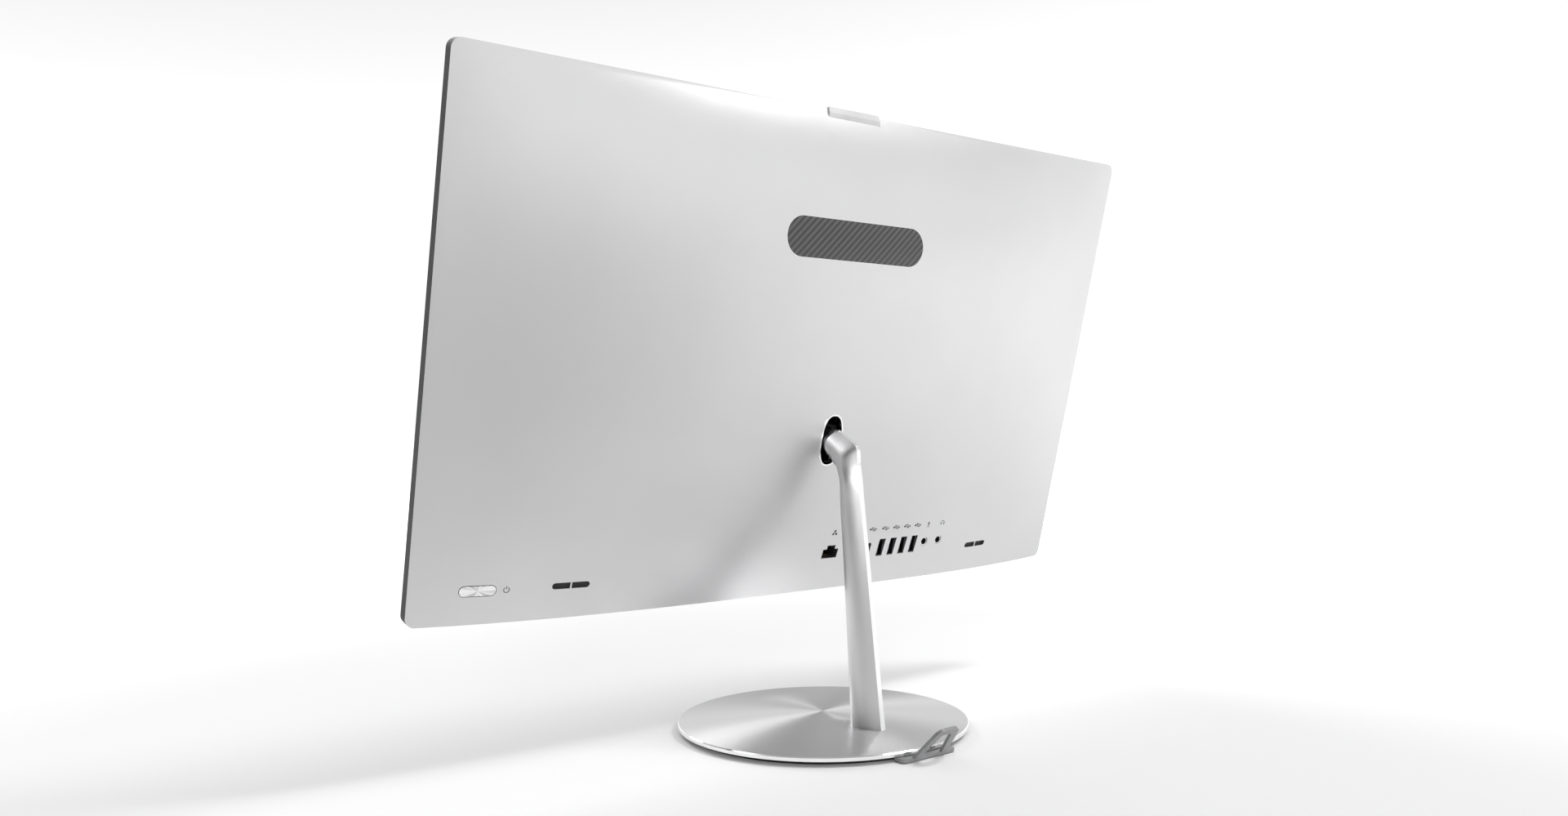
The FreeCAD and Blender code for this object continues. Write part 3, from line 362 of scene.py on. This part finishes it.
def spun_metal(name, colour, pitch, centre=(0, 0, 0), axis=(0, 0, 1), roughness=0.36, anisotropy=0.85,
               painted_highlight_fans=0.0):
    """Metal turned on a lathe: concentric lines and fan-shaped light, with fan-shaped highlights painted into
    the colour if asked.
    """
    w = Workshop(name, metallic=1.0, anisotropic=anisotropy, anisotropic_rotation=0.25)
    where = w.place(centre, axis)
    lines = w.rings(where, pitch, 4.0)
    if painted_highlight_fans:
        # Painted highlights: the colour turns lighter and darker in wedges round the centre, as fan-shaped
        # highlights painted into it.
        turn = w.add("ShaderNodeTexGradient", gradient_type="RADIAL")
        w.link(where, turn.inputs["Vector"])
        sweep = w.add("ShaderNodeTexNoise", noise_dimensions="1D")
        sweep.inputs["Scale"].default_value = painted_highlight_fans
        w.link(turn.outputs["Fac"], sweep.inputs["W"])
        w.tint(sweep.outputs["Fac"], shade(colour, 0.62), shade(colour, 1.05), 0.38, 0.6)
    else:
        w.tint(lines, shade(colour, 0.93), shade(colour, 1.04))
    w.roughness(w.spread(lines, roughness - 0.05, roughness + 0.06))
    w.bump(lines, pitch * 0.04, 0.3)
    tangent = w.add("ShaderNodeTangent", direction_type="RADIAL", axis="Z" if abs(axis[2]) > 0.7 else "Y")
    w.link(tangent.outputs["Tangent"], w.shader.inputs["Tangent"])
    return w.material


def plain_metal(name, colour, roughness=0.3, grain=0.0008, bump=0.00002):
    """Rolled or plated metal with faint streaks along one way."""
    w = Workshop(name, metallic=1.0)
    where = w.place()
    stretch = w.add("ShaderNodeMapping")
    stretch.inputs["Scale"].default_value = (0.12, 1.0, 1.0)
    w.link(where, stretch.inputs["Vector"])
    streaks = w.noise(stretch.outputs["Vector"], grain, 3.0)
    w.tint(streaks, shade(colour, 0.92), shade(colour, 1.05))
    w.roughness(w.spread(streaks, roughness * 0.8, roughness * 1.2))
    w.bump(streaks, bump, 0.4)
    return w.material


def polished_metal(name, colour, roughness=0.06):
    """Diamond-cut or plated bright metal."""
    w = Workshop(name, metallic=1.0, base_color=colour)
    haze = w.noise(w.place(), 0.004, 2.0)
    w.roughness(w.spread(haze, roughness * 0.7, roughness * 1.5))
    w.bump(haze, 0.000004, 0.2)
    return w.material


def socket_ring(name, colour, centre, axis, throat):
    """Bright plated rim round a black throat."""
    w = Workshop(name, metallic=1.0)
    rim = w.spread(w.off_axis(w.place(centre, axis)), 0.0, 1.0, throat, throat + 0.0002)
    w.tint(rim, (0.01, 0.01, 0.01), colour, 0.0, 1.0)
    w.roughness(w.spread(rim, 0.6, 0.16, 0.0, 1.0))
    return w.material


def moulded_plastic(name, colour, roughness=0.45, grain=0.0006, bump=0.00003, coat=0.0, specular=0.5):
    """Textured moulded plastic, a little worn and uneven."""
    w = Workshop(name, coat_weight=coat, specular_ior_level=specular)
    where = w.place()
    texture = w.noise(where, grain, 2.0)
    cloud = w.noise(where, 0.03, 3.0)
    w.tint(cloud, shade(colour, 0.9), shade(colour, 1.12))
    w.roughness(w.spread(texture, roughness - 0.06, roughness + 0.06))
    w.bump(texture, bump, 0.4)
    return w.material


def rubber(name, colour):
    w = Workshop(name)
    where = w.place()
    texture = w.noise(where, 0.0012, 4.0, 0.7)
    w.tint(texture, shade(colour, 0.8), shade(colour, 1.3))
    w.roughness(w.spread(texture, 0.75, 0.9))
    w.bump(texture, 0.00006, 0.5)
    return w.material


def circuit_board(name, colour):
    """Solder mask with a maze of faint copper tracks."""
    w = Workshop(name, coat_weight=0.4)
    where = w.place()
    cells = w.add("ShaderNodeTexVoronoi", feature="DISTANCE_TO_EDGE", distance="MANHATTAN")
    cells.inputs["Scale"].default_value = 260.0
    w.link(where, cells.inputs["Vector"])
    w.tint(cells.outputs["Distance"], shade(colour, 1.9), colour, 0.02, 0.09)
    w.roughness(w.spread(w.noise(where, 0.004), 0.3, 0.42))
    w.bump(cells.outputs["Distance"], 0.00004, 0.5)
    return w.material


def dark_glass(name, colour, roughness=0.05):
    """Dark glossy glass with faint unevenness."""
    w = Workshop(name, coat_weight=1.0, coat_roughness=0.03)
    where = w.place()
    cloud = w.noise(where, 0.09, 2.0)
    w.tint(cloud, shade(colour, 0.85), shade(colour, 1.2))
    w.roughness(w.spread(w.noise(where, 0.002), roughness, roughness * 1.8))
    return w.material


def hatched_gloss(name, colour, across, spacing):
    """Glossy black with fine slanting lines."""
    w = Workshop(name, coat_weight=0.6, coat_roughness=0.08)
    turn = w.add("ShaderNodeMapping", vector_type="POINT")
    turn.inputs["Rotation"].default_value = (0.0, math.radians(across), 0.0)
    w.link(w.place(), turn.inputs["Vector"])
    wave = w.add("ShaderNodeTexWave", wave_type="BANDS", bands_direction="X")
    wave.inputs["Scale"].default_value = 0.31 / spacing
    w.link(turn.outputs["Vector"], wave.inputs["Vector"])
    w.tint(wave.outputs["Fac"], shade(colour, 0.5), shade(colour, 3.2), 0.35, 0.75)
    w.roughness(w.spread(wave.outputs["Fac"], 0.18, 0.4, 0.2, 0.8))
    w.bump(wave.outputs["Fac"], 0.00004, 0.6)
    return w.material


def dress(material, *names):
    """Give one material to whole CAD nodes."""
    for name in names:
        slots = NODES[name].data.materials
        slots.clear()
        slots.append(material)


def second_finish(name, material, wanted):
    """Give a second material to the faces of a node for which wanted(centre, normal) is true."""
    mesh = NODES[name].data
    mesh.materials.append(material)
    index = len(mesh.materials) - 1
    count = 0
    for face in mesh.polygons:
        if wanted(face.center, face.normal):
            face.material_index = index
            count += 1
    if count == 0:
        raise RuntimeError(f"no face of {name} took {material.name}")


# ---- Small pieces ----

def new_piece(name, mesh_maker, material, body):
    """Build one piece with bmesh, dress it and let it ride on a body."""
    bm = bmesh.new()
    mesh_maker(bm)
    bmesh.ops.recalc_face_normals(bm, faces=bm.faces)
    mesh = bpy.data.meshes.new(name)
    bm.to_mesh(mesh)
    bm.free()
    piece = bpy.data.objects.new(name, mesh)
    bpy.context.scene.collection.objects.link(piece)
    mesh.materials.append(material)
    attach(piece, body)
    return piece


def slab(bm, outline, lift, thick, point):
    """Closed slab over an outline of (a, b) points; point(a, b, lift) gives its place."""
    low = [bm.verts.new(point(a, b, lift)) for a, b in outline]
    high = [bm.verts.new(point(a, b, lift + thick)) for a, b in outline]
    bm.faces.new(high)
    bm.faces.new(list(reversed(low)))
    count = len(outline)
    for i in range(count):
        j = (i + 1) % count
        bm.faces.new((low[i], low[j], high[j], high[i]))


def band(bm, outer, inner, lift, thick, point):
    """Closed flat band between two outlines with the same count of points."""
    rings = []
    for outline in (outer, inner):
        for height in (lift, lift + thick):
            rings.append([bm.verts.new(point(a, b, height)) for a, b in outline])
    out_low, out_high, in_low, in_high = rings
    count = len(outer)
    for i in range(count):
        j = (i + 1) % count
        bm.faces.new((out_low[i], out_low[j], out_high[j], out_high[i]))
        bm.faces.new((in_low[i], in_high[i], in_high[j], in_low[j]))
        bm.faces.new((out_high[i], out_high[j], in_high[j], in_high[i]))
        bm.faces.new((out_low[i], in_low[i], in_low[j], out_low[j]))


def circle(radius, count=28, centre=(0.0, 0.0)):
    steps = [2 * math.pi * i / count for i in range(count)]
    return [(centre[0] + radius * math.cos(a), centre[1] + radius * math.sin(a)) for a in steps]


def oblong(width, height, centre=(0.0, 0.0), corner=0.3, steps=4):
    """Rounded rectangle outline; corner is a share of its shorter side."""
    radius = min(width, height) * min(corner, 0.5)
    outline = []
    for k, (sx, sy) in enumerate(((1, 1), (-1, 1), (-1, -1), (1, -1))):
        cx = centre[0] + sx * (width / 2 - radius)
        cy = centre[1] + sy * (height / 2 - radius)
        for i in range(steps + 1):
            a = math.pi / 2 * (k + i / steps)
            outline.append((cx + radius * math.cos(a), cy + radius * math.sin(a)))
    return outline


def skin_place(x, s):
    """Function that lays small (a, b) marks on the cover round x, s."""
    def point(a, b, lift):
        return on_skin(x + a, s + b, lift)[0]
    return point


def marks(bm, point, *outlines):
    """Several flat shapes of one printed mark."""
    for outline in outlines:
        slab(bm, outline, PRINT_LIFT, PRINT_T, point)


def usb_mark(bm, point):
    """Arrow with a round tail and one side branch."""
    marks(bm, point, oblong(0.0056, 0.00045), [(-0.0034, 0.0), (-0.0023, -0.0009), (-0.0023, 0.0009)],
          circle(0.0008, 20, (0.0026, 0.0)), oblong(0.0022, 0.0004, (-0.0002, 0.0011)),
          oblong(0.0011, 0.0011, (0.0012, 0.0011)), oblong(0.0018, 0.0004, (0.0, -0.0010)),
          circle(0.0006, 16, (-0.0012, -0.0010)))


def video_mark(bm, point):
    """Small screen on a foot."""
    outer = oblong(0.0044, 0.0030, corner=0.1)
    inner = oblong(0.0036, 0.0022, corner=0.1)
    band(bm, outer, inner, PRINT_LIFT, PRINT_T, point)
    marks(bm, point, oblong(0.0022, 0.0004, (0.0, -0.0021)))


def inlet_mark(bm, point):
    """Dot inside an open ring, for the power inlet."""
    band(bm, circle(0.0016), circle(0.0012), PRINT_LIFT, PRINT_T, point)
    marks(bm, point, circle(0.0005, 16))


def network_mark(bm, point):
    """Three boxes joined as a little tree."""
    marks(bm, point, oblong(0.0016, 0.0013, (0.0, 0.0014), 0.1), oblong(0.0004, 0.0012, (0.0, 0.0003)),
          oblong(0.0036, 0.0004, (0.0, -0.0002)), oblong(0.0015, 0.0012, (-0.0014, -0.0011), 0.1),
          oblong(0.0015, 0.0012, (0.0014, -0.0011), 0.1))


def microphone_mark(bm, point):
    """Capsule on a stem and foot."""
    marks(bm, point, oblong(0.0013, 0.0026, (0.0, 0.0005), 0.5), oblong(0.0004, 0.0012, (0.0, -0.0013)),
          oblong(0.0018, 0.0004, (0.0, -0.0021)))


def arc(radius, width, start, sweep, steps=24):
    """Outline of an open ring from start over sweep degrees."""
    outline = []
    for i in range(steps + 1):
        a = math.radians(start + sweep * i / steps)
        outline.append((radius * math.cos(a), radius * math.sin(a)))
    return outline + [(x * (1 - width / radius), y * (1 - width / radius)) for x, y in reversed(outline)]


def headphone_mark(bm, point):
    """Headband with two cups."""
    cups = [oblong(0.0009, 0.0015, (side * 0.0016, -0.0008)) for side in (-1, 1)]
    marks(bm, point, arc(0.0018, 0.0004, 0, 180), *cups)


def power_mark(bm, point):
    """Open ring with a bar at its top."""
    marks(bm, point, arc(0.0019, 0.00045, 125, 290), oblong(0.00045, 0.0019, (0.0, 0.0014)))


# ---- Operators ----

class AIO_OT_stage(bpy.types.Operator):
    """Floor, soft lights and camera"""

    bl_idname = "aio.stage"
    bl_label = "Stage"

    def execute(self, context):
        settings = context.scene.aio_stage
        self.camera(context, settings)
        self.floor(context, settings)
        self.lights(context, settings)
        return {"FINISHED"}

    def camera(self, context, settings):
        lens = bpy.data.cameras.new("camera")
        lens.sensor_width = SENSOR_WIDTH
        lens.lens = settings.lens
        lens.shift_x, lens.shift_y = LENS_SHIFT
        lens.clip_start = 0.01
        camera = bpy.data.objects.new("camera", lens)
        context.scene.collection.objects.link(camera)
        level = math.cos(settings.camera_pitch)
        ahead = Vector((math.cos(settings.camera_yaw) * level, math.sin(settings.camera_yaw) * level,
                        math.sin(settings.camera_pitch)))
        right = ahead.cross(Vector((0, 0, 1))).normalized()
        above = right.cross(ahead)
        roll = settings.camera_roll
        side = right * math.cos(roll) + above * math.sin(roll)
        top = above * math.cos(roll) - right * math.sin(roll)
        turn = Matrix((side, top, -ahead)).transposed().to_4x4()
        camera.matrix_world = Matrix.Translation(Vector(settings.camera_place)) @ turn
        context.scene.camera = camera

    def floor(self, context, settings):
        bm = bmesh.new()
        bmesh.ops.create_circle(bm, cap_ends=True, segments=96, radius=FLOOR_RADIUS)
        mesh = bpy.data.meshes.new("floor")
        bm.to_mesh(mesh)
        bm.free()
        floor = bpy.data.objects.new("floor", mesh)
        context.scene.collection.objects.link(floor)
        w = Workshop("floor_paper_painted_shade_and_glow", specular_ior_level=0.2)
        colour = tuple(settings.floor_colour)
        where = w.place()
        # Painted shade: the floor's colour darkens towards grey on the near side of the stand.
        nearer = w.add("ShaderNodeVectorMath", operation="DOT_PRODUCT")
        nearer.inputs[1].default_value = FLOOR_PAINTED_SHADE_WAY
        w.link(where, nearer.inputs[0])
        painted_floor_shade = w.spread(nearer.outputs["Value"], 0.0, 1.0, *FLOOR_PAINTED_SHADE_SPAN)
        w.tint(painted_floor_shade, colour, shade(colour, FLOOR_PAINTED_SHADE_LEVEL), 0.0, 1.0)
        w.roughness(w.spread(w.noise(where, 0.8), 0.7, 0.8))
        distance = w.add("ShaderNodeVectorMath", operation="LENGTH")
        w.link(where, distance.inputs[0])
        glow = w.spread(distance.outputs["Value"], 0.0, FLOOR_GLOW_STRENGTH, *FLOOR_GLOW)
        w.link(glow, w.shader.inputs["Emission Strength"])
        w.shader.inputs["Emission Color"].default_value = (1, 1, 1, 1)
        mesh.materials.append(w.material)

    def sky(self, strength):
        """World that differs by heading near the horizon and fades to one brightness overhead."""
        world = bpy.data.worlds.new("studio")
        world.use_nodes = True
        nodes = world.node_tree.nodes
        links = world.node_tree.links

        def sums(operation, a, b, clamp=False):
            node = nodes.new("ShaderNodeMath")
            node.operation = operation
            node.use_clamp = clamp
            for socket, value in zip(node.inputs, (a, b)):
                if isinstance(value, (int, float)):
                    socket.default_value = value
                else:
                    links.new(value, socket)
            return node.outputs["Value"]

        heading = nodes.new("ShaderNodeTexCoord").outputs["Generated"]
        split = nodes.new("ShaderNodeSeparateXYZ")
        links.new(heading, split.inputs["Vector"])
        x, y, z = split.outputs
        level = sums("MAXIMUM", sums("SUBTRACT", 1.0, sums("MULTIPLY", z, z)), 0.001)
        above_middle = sums("SUBTRACT", z, SKY_MIDDLE_AT)
        off_middle = sums("ABSOLUTE", above_middle, 0)
        middle_share = sums("SUBTRACT", 1.0, sums("DIVIDE", off_middle, SKY_MIDDLE_REACH), True)
        low_share = sums("DIVIDE", sums("SUBTRACT", SKY_MIDDLE_AT, z), SKY_LOW_REACH, True)
        top_share = sums("DIVIDE", above_middle, SKY_TOP_REACH, True)
        total = sums("MULTIPLY", top_share, SKY_TOP)
        for share, sides in ((low_share, SKY_LOW), (middle_share, SKY_MIDDLE)):
            for (side_x, side_y), grey in sides.items():
                towards = sums("ADD", sums("MULTIPLY", x, side_x), sums("MULTIPLY", y, side_y))
                along = sums("MAXIMUM", towards, 0.0)
                facing = sums("DIVIDE", sums("MULTIPLY", along, along), level)
                total = sums("ADD", total, sums("MULTIPLY", sums("MULTIPLY", facing, share), grey))
        sky = nodes["Background"]
        links.new(total, sky.inputs["Color"])
        sky.inputs["Strength"].default_value = strength
        return world

    def lights(self, context, settings):
        context.scene.world = self.sky(settings.sky)
        target = Vector(LAMP_TARGET)
        for name, place, size, share in LAMPS:
            lamp = bpy.data.lights.new(name, "AREA")
            lamp.shape = "DISK"
            lamp.size = size
            lamp.energy = settings.key_power * share
            light = bpy.data.objects.new(name, lamp)
            context.scene.collection.objects.link(light)
            light.location = place
            light.rotation_euler = (target - Vector(place)).to_track_quat("-Z", "Y").to_euler()
        context.scene.view_settings.view_transform = "Standard"


class AIO_OT_shell(bpy.types.Operator):
    """Rear cover, front frame, chin, screen and slot ring"""

    bl_idname = "aio.shell"
    bl_label = "Display shell"

    def execute(self, context):
        metal = context.scene.aio_metal
        dark = context.scene.aio_dark
        dress(blasted_metal("blasted_cover", tuple(metal.cover_colour), metal.blast_grain), "rear_cover")
        inside = moulded_plastic("cover_lining", (0.02, 0.02, 0.02), 0.6)

        def is_lining(centre, normal):
            return normal.dot(BACK) < -0.3 and centre.dot(BACK) > FRAME_BACK + LINING_FROM
        second_finish("rear_cover", inside, is_lining)
        black = moulded_plastic("frame_black", tuple(dark.frame_colour), 0.5, specular=0.3)
        dress(black, "front_frame")

        def is_painted_rim(centre, normal):
            return abs(normal.dot(BACK)) < 0.3 and centre.dot(BACK) < FRAME_BACK + PAINTED_RIM
        second_finish("rear_cover", black, is_painted_rim)
        dress(moulded_plastic("chin_satin", tuple(dark.chin_colour), 0.32, coat=0.2), "chin_trim")
        dress(dark_glass("screen_dark", (0.008, 0.008, 0.010)), "screen_panel")
        dress(plain_metal("tray_sheet", (0.6, 0.6, 0.6)), "backlight_tray")
        dress(polished_metal("ring_bright", (0.93, 0.93, 0.93), 0.08), "slot_ring")
        dress(moulded_plastic("liner_mesh", (0.015, 0.015, 0.015), 0.7), "side_slot_liners", "bottom_grille")
        return {"FINISHED"}


class AIO_OT_badge(bpy.types.Operator):
    """Plain black badge with a fine slanting hatch"""

    bl_idname = "aio.badge"
    bl_label = "Badge"

    def execute(self, context):
        dark = context.scene.aio_dark
        width = spans("badge", ACROSS)[1] * 2
        dress(hatched_gloss("badge_hatch", (0.02, 0.02, 0.021), 45, width / dark.hatch_count), "badge")
        return {"FINISHED"}


class AIO_OT_neck(bpy.types.Operator):
    """Neck with its bright rear facet, and the hinge"""

    bl_idname = "aio.neck"
    bl_label = "Neck and hinge"

    def execute(self, context):
        metal = context.scene.aio_metal
        dress(blasted_metal("neck_metal", tuple(metal.neck_colour), metal.blast_grain, 0.34), "neck")

        def is_facet(centre, normal):
            return abs(centre.x) < FACET_HALF and abs(normal.x) < 0.02 and (normal.y > 0.4 or normal.z > 0.6)
        second_finish("neck", polished_metal("facet_cut", (0.9, 0.9, 0.9), 0.12), is_facet)
        dress(plain_metal("hinge_steel", (0.10, 0.10, 0.105), 0.35), "hinge_tongue", "hinge_washers")
        dress(plain_metal("plated_steel", (0.55, 0.55, 0.56), 0.3), "tongue_pin", "hinge_shaft", "hinge_nuts",
              "hinge_brackets", "chassis_plate", "chassis_screws", "board_screws", "bracket_screws",
              "neck_screws", "clip_screws")
        return {"FINISHED"}


class AIO_OT_base(bpy.types.Operator):
    """Spun disc, its weight, feet and cable clip"""

    bl_idname = "aio.base"
    bl_label = "Base"

    def execute(self, context):
        metal = context.scene.aio_metal
        dress(spun_metal("spun_disc", tuple(metal.disc_colour), metal.spin_pitch), "base_disc")
        reach = spans("base_disc", ACROSS)[1]

        def is_rim(centre, normal):
            return math.hypot(centre.x, centre.y) > reach - RIM_CUT and centre.z > RIM_CUT_FOOT
        second_finish("base_disc", polished_metal("rim_cut", (0.9, 0.9, 0.9), 0.1), is_rim)
        dress(plain_metal("weight_steel", (0.08, 0.08, 0.085), 0.5), "base_weight")
        dress(rubber("foot_rubber", (0.02, 0.02, 0.02)), "foot_ring", "centre_pad")
        dress(moulded_plastic("clip_paint", tuple(metal.clip_colour), 0.38, 0.0004), "cable_clip")
        return {"FINISHED"}


class AIO_OT_sockets(bpy.types.Operator):
    """Finishes of the rear sockets"""

    bl_idname = "aio.sockets"
    bl_label = "Sockets"

    def execute(self, context):
        dress(moulded_plastic("socket_black", (0.012, 0.012, 0.012), 0.5),
              "lan_socket", "dc_jack", "usb_a_tongues")
        dress(plain_metal("socket_sheet", (0.16, 0.16, 0.165), 0.35),
              "usb_a_shells", "usb_c_socket", "hdmi_socket")
        hole = moulded_plastic("jack_inside", (0.01, 0.01, 0.01), 0.6)
        for name in ("mic_jack", "headphone_jack"):
            x = middle(name, ACROSS)
            height = middle(name, UP)
            top = spans(name, BACK)[1]
            mouth = ACROSS * x + UP * height + BACK * top
            dress(socket_ring(name + "_ring", (0.92, 0.92, 0.92), mouth, BACK, THROAT_RADIUS), name)

            def is_bore(centre, normal):
                near = math.hypot(centre.x - x, centre.dot(UP) - height) < BORE_RADIUS
                return near and centre.dot(BACK) < top - BORE_BELOW
            second_finish(name, hole, is_bore)
        self.network_contacts(plain_metal("contact_gold", (0.75, 0.55, 0.22), 0.25))
        return {"FINISHED"}

    def network_contacts(self, gold):
        """Wavy contacts side by side on the network socket's floor."""
        x = middle("lan_socket", ACROSS)
        top = spans("lan_socket", BACK)[1] - FRAME_BACK
        floor_s = spans("lan_socket", UP)[0] - BODY_FOOT + CONTACT_FLOOR
        steps = [top - CONTACT_DEEP + CONTACT_STEP * k for k in range(CONTACT_STEPS)]
        outline = [(-CONTACT_HALF_WIDTH, q) for q in steps]
        outline += [(CONTACT_HALF_WIDTH, q) for q in reversed(steps)]

        def wires(bm):
            for i in range(CONTACT_COUNT):
                a = x + (i - (CONTACT_COUNT - 1) / 2) * CONTACT_PITCH

                def point(p, q, lift):
                    wave = CONTACT_RISE * math.sin(q * CONTACT_WAVE)
                    return on_body(a + p, floor_s + lift + wave, q)
                slab(bm, outline, CONTACT_RISE, CONTACT_THICK, point)
        new_piece("network_contacts", wires, gold, "display")


class AIO_OT_prints(bpy.types.Operator):
    """Small printed marks above the sockets and beside the button"""

    bl_idname = "aio.prints"
    bl_label = "Printed marks"

    def execute(self, context):
        dark = context.scene.aio_dark
        ink = moulded_plastic("print_ink", tuple(dark.print_colour), 0.5, 0.0003, 0.000004)
        line = height_of("usb_a_tongues") + MARK_RISE
        usb_low, usb_high = spans("usb_a_shells", ACROSS)
        pitch = (usb_high - usb_low - USB_SHELL_WIDTH) / (USB_COUNT - 1)
        first = usb_high - USB_SHELL_WIDTH / 2
        places = [("usb_a_mark", usb_mark, first - i * pitch, line) for i in range(USB_COUNT)]
        for name, maker, node in (
                ("usb_c_mark", usb_mark, "usb_c_socket"), ("video_mark", video_mark, "hdmi_socket"),
                ("inlet_mark", inlet_mark, "dc_jack"), ("network_mark", network_mark, "lan_socket"),
                ("microphone_mark", microphone_mark, "mic_jack"),
                ("headphone_mark", headphone_mark, "headphone_jack")):
            places.append((name, maker, middle(node, ACROSS), line))
        button_end = spans("power_button", ACROSS)[0]
        places.append(("power_mark", power_mark, button_end - POWER_MARK_GAP, height_of("power_button")))

        for i, (name, maker, x, s) in enumerate(places):
            point = skin_place(x, s)
            new_piece(f"{name}_{i + 1}", lambda bm: maker(bm, point), ink, "display")
        return {"FINISHED"}


class AIO_OT_button(bpy.types.Operator):
    """Spun power button, with fan-shaped highlights painted into its colour"""

    bl_idname = "aio.button"
    bl_label = "Power button"

    def execute(self, context):
        metal = context.scene.aio_metal
        centre = on_body(middle("power_button", ACROSS), height_of("power_button"), 0.0)
        # Painted highlights: the last value sets how finely fan-shaped highlights are painted into the
        # button's colour round its centre.
        dress(spun_metal("spun_button_painted_highlights", tuple(metal.button_colour), metal.spin_pitch * 0.5, tuple(centre),
                         tuple(BACK), 0.3, 0.85, 9.0), "power_button")
        dress(moulded_plastic("switch_black", (0.02, 0.02, 0.02)), "power_switch")
        return {"FINISHED"}


class AIO_OT_camera_module(bpy.types.Operator):
    """Pop-up camera sled, its window, lens and ring"""

    bl_idname = "aio.camera_module"
    bl_label = "Pop-up camera"

    def execute(self, context):
        dress(moulded_plastic("sled_silver", (0.62, 0.62, 0.625), 0.35, 0.0004), "camera_sled")
        dress(dark_glass("camera_window_glass", (0.006, 0.006, 0.008)), "camera_window")
        dress(dark_glass("camera_lens_glass", (0.012, 0.010, 0.02), 0.03), "camera_lens")
        dress(moulded_plastic("guide_black", (0.02, 0.02, 0.02), 0.5), "camera_guide")
        ring = polished_metal("lens_ring", (0.35, 0.35, 0.36), 0.2)
        s = height_of("camera_window")
        front = spans("camera_window", BACK)[0] - FRAME_BACK

        def lens_ring(bm):
            def point(a, b, lift):
                return on_body(a, s + b, front - lift)
            outer, inner = [circle(radius, 40) for radius in LENS_RING_RADII]
            band(bm, outer, inner, LENS_RING_BACK, LENS_RING_THICK, point)
            slab(bm, circle(DOT_RADIUS, 20, DOT_AT), LENS_RING_BACK, DOT_THICK, point)
        new_piece("camera_lens_ring", lens_ring, ring, "camera")
        return {"FINISHED"}


class AIO_OT_insides(bpy.types.Operator):
    """Boards, cooler, drives and speakers inside the body"""

    bl_idname = "aio.insides"
    bl_label = "Insides"

    def execute(self, context):
        board = circuit_board("board_mask", (0.012, 0.06, 0.03))
        dress(board, "motherboard", "memory_module", "wifi_card", "solid_state_drive")
        dress(plain_metal("brass_turned", (0.6, 0.42, 0.16), 0.3), "standoffs")
        dress(plain_metal("sink_aluminium", (0.6, 0.6, 0.6), 0.35), "heatsink", "cooling_fins", "hard_drive")
        dress(plain_metal("pipe_copper", (0.62, 0.27, 0.14), 0.25), "heat_pipe")
        dress(moulded_plastic("fan_black", (0.025, 0.025, 0.025), 0.45), "fan_housing", "fan_rotor",
              "speaker_left", "speaker_right")
        self.board_chips()
        return {"FINISHED"}

    def board_chips(self):
        """Packages of different sizes set out over the free part of the board."""
        resin = moulded_plastic("chip_resin", (0.02, 0.02, 0.022), 0.5)
        low, high = spans("motherboard", ACROSS)
        top = spans("motherboard", BACK)[1] - FRAME_BACK
        s_low = spans("motherboard", UP)[0] - BODY_FOOT

        def chips(bm):
            for i in range(CHIP_COUNT):
                width, tall = CHIP_SIZES[i % len(CHIP_SIZES)]
                x = low + CHIP_FIRST[0] + i * CHIP_PITCH
                s = s_low + CHIP_FIRST[1] + CHIP_STAGGER * (i % 2)
                if x > high - CHIP_EDGE:
                    break

                def point(a, b, lift):
                    return on_body(x + a, s + b, top + lift)
                slab(bm, oblong(min(width, CHIP_WIDEST), tall, corner=0.08), 0.0, CHIP_THICK, point)
        new_piece("board_chips", chips, resin, "display")


PIECE_OPERATORS = (AIO_OT_shell, AIO_OT_badge, AIO_OT_neck, AIO_OT_base, AIO_OT_sockets, AIO_OT_prints,
                   AIO_OT_button, AIO_OT_camera_module, AIO_OT_insides)


class AIO_PT_panel(bpy.types.Panel):
    """Buttons for each group of pieces"""

    bl_idname = "AIO_PT_panel"
    bl_label = "All in One PC"
    bl_space_type = "VIEW_3D"
    bl_region_type = "UI"
    bl_category = "All in One PC"

    def draw(self, context):
        for operator in (AIO_OT_stage, *PIECE_OPERATORS):
            self.layout.operator(operator.bl_idname)


CLASSES = (StageSettings, MetalSettings, DarkSettings, AIO_OT_stage, *PIECE_OPERATORS, AIO_PT_panel)
SETTINGS = (("aio_stage", StageSettings), ("aio_metal", MetalSettings), ("aio_dark", DarkSettings))


def register():
    for item in CLASSES:
        bpy.utils.register_class(item)
    for name, group in SETTINGS:
        setattr(bpy.types.Scene, name, bpy.props.PointerProperty(type=group))


def unregister():
    for name, _ in SETTINGS:
        delattr(bpy.types.Scene, name)
    for item in reversed(CLASSES):
        bpy.utils.unregister_class(item)


def main():
    register()
    bpy.ops.aio.stage()
    bpy.ops.aio.shell()
    bpy.ops.aio.badge()
    bpy.ops.aio.neck()
    bpy.ops.aio.base()
    bpy.ops.aio.sockets()
    bpy.ops.aio.prints()
    bpy.ops.aio.button()
    bpy.ops.aio.camera_module()
    bpy.ops.aio.insides()


if __name__ == "__main__":
    main()
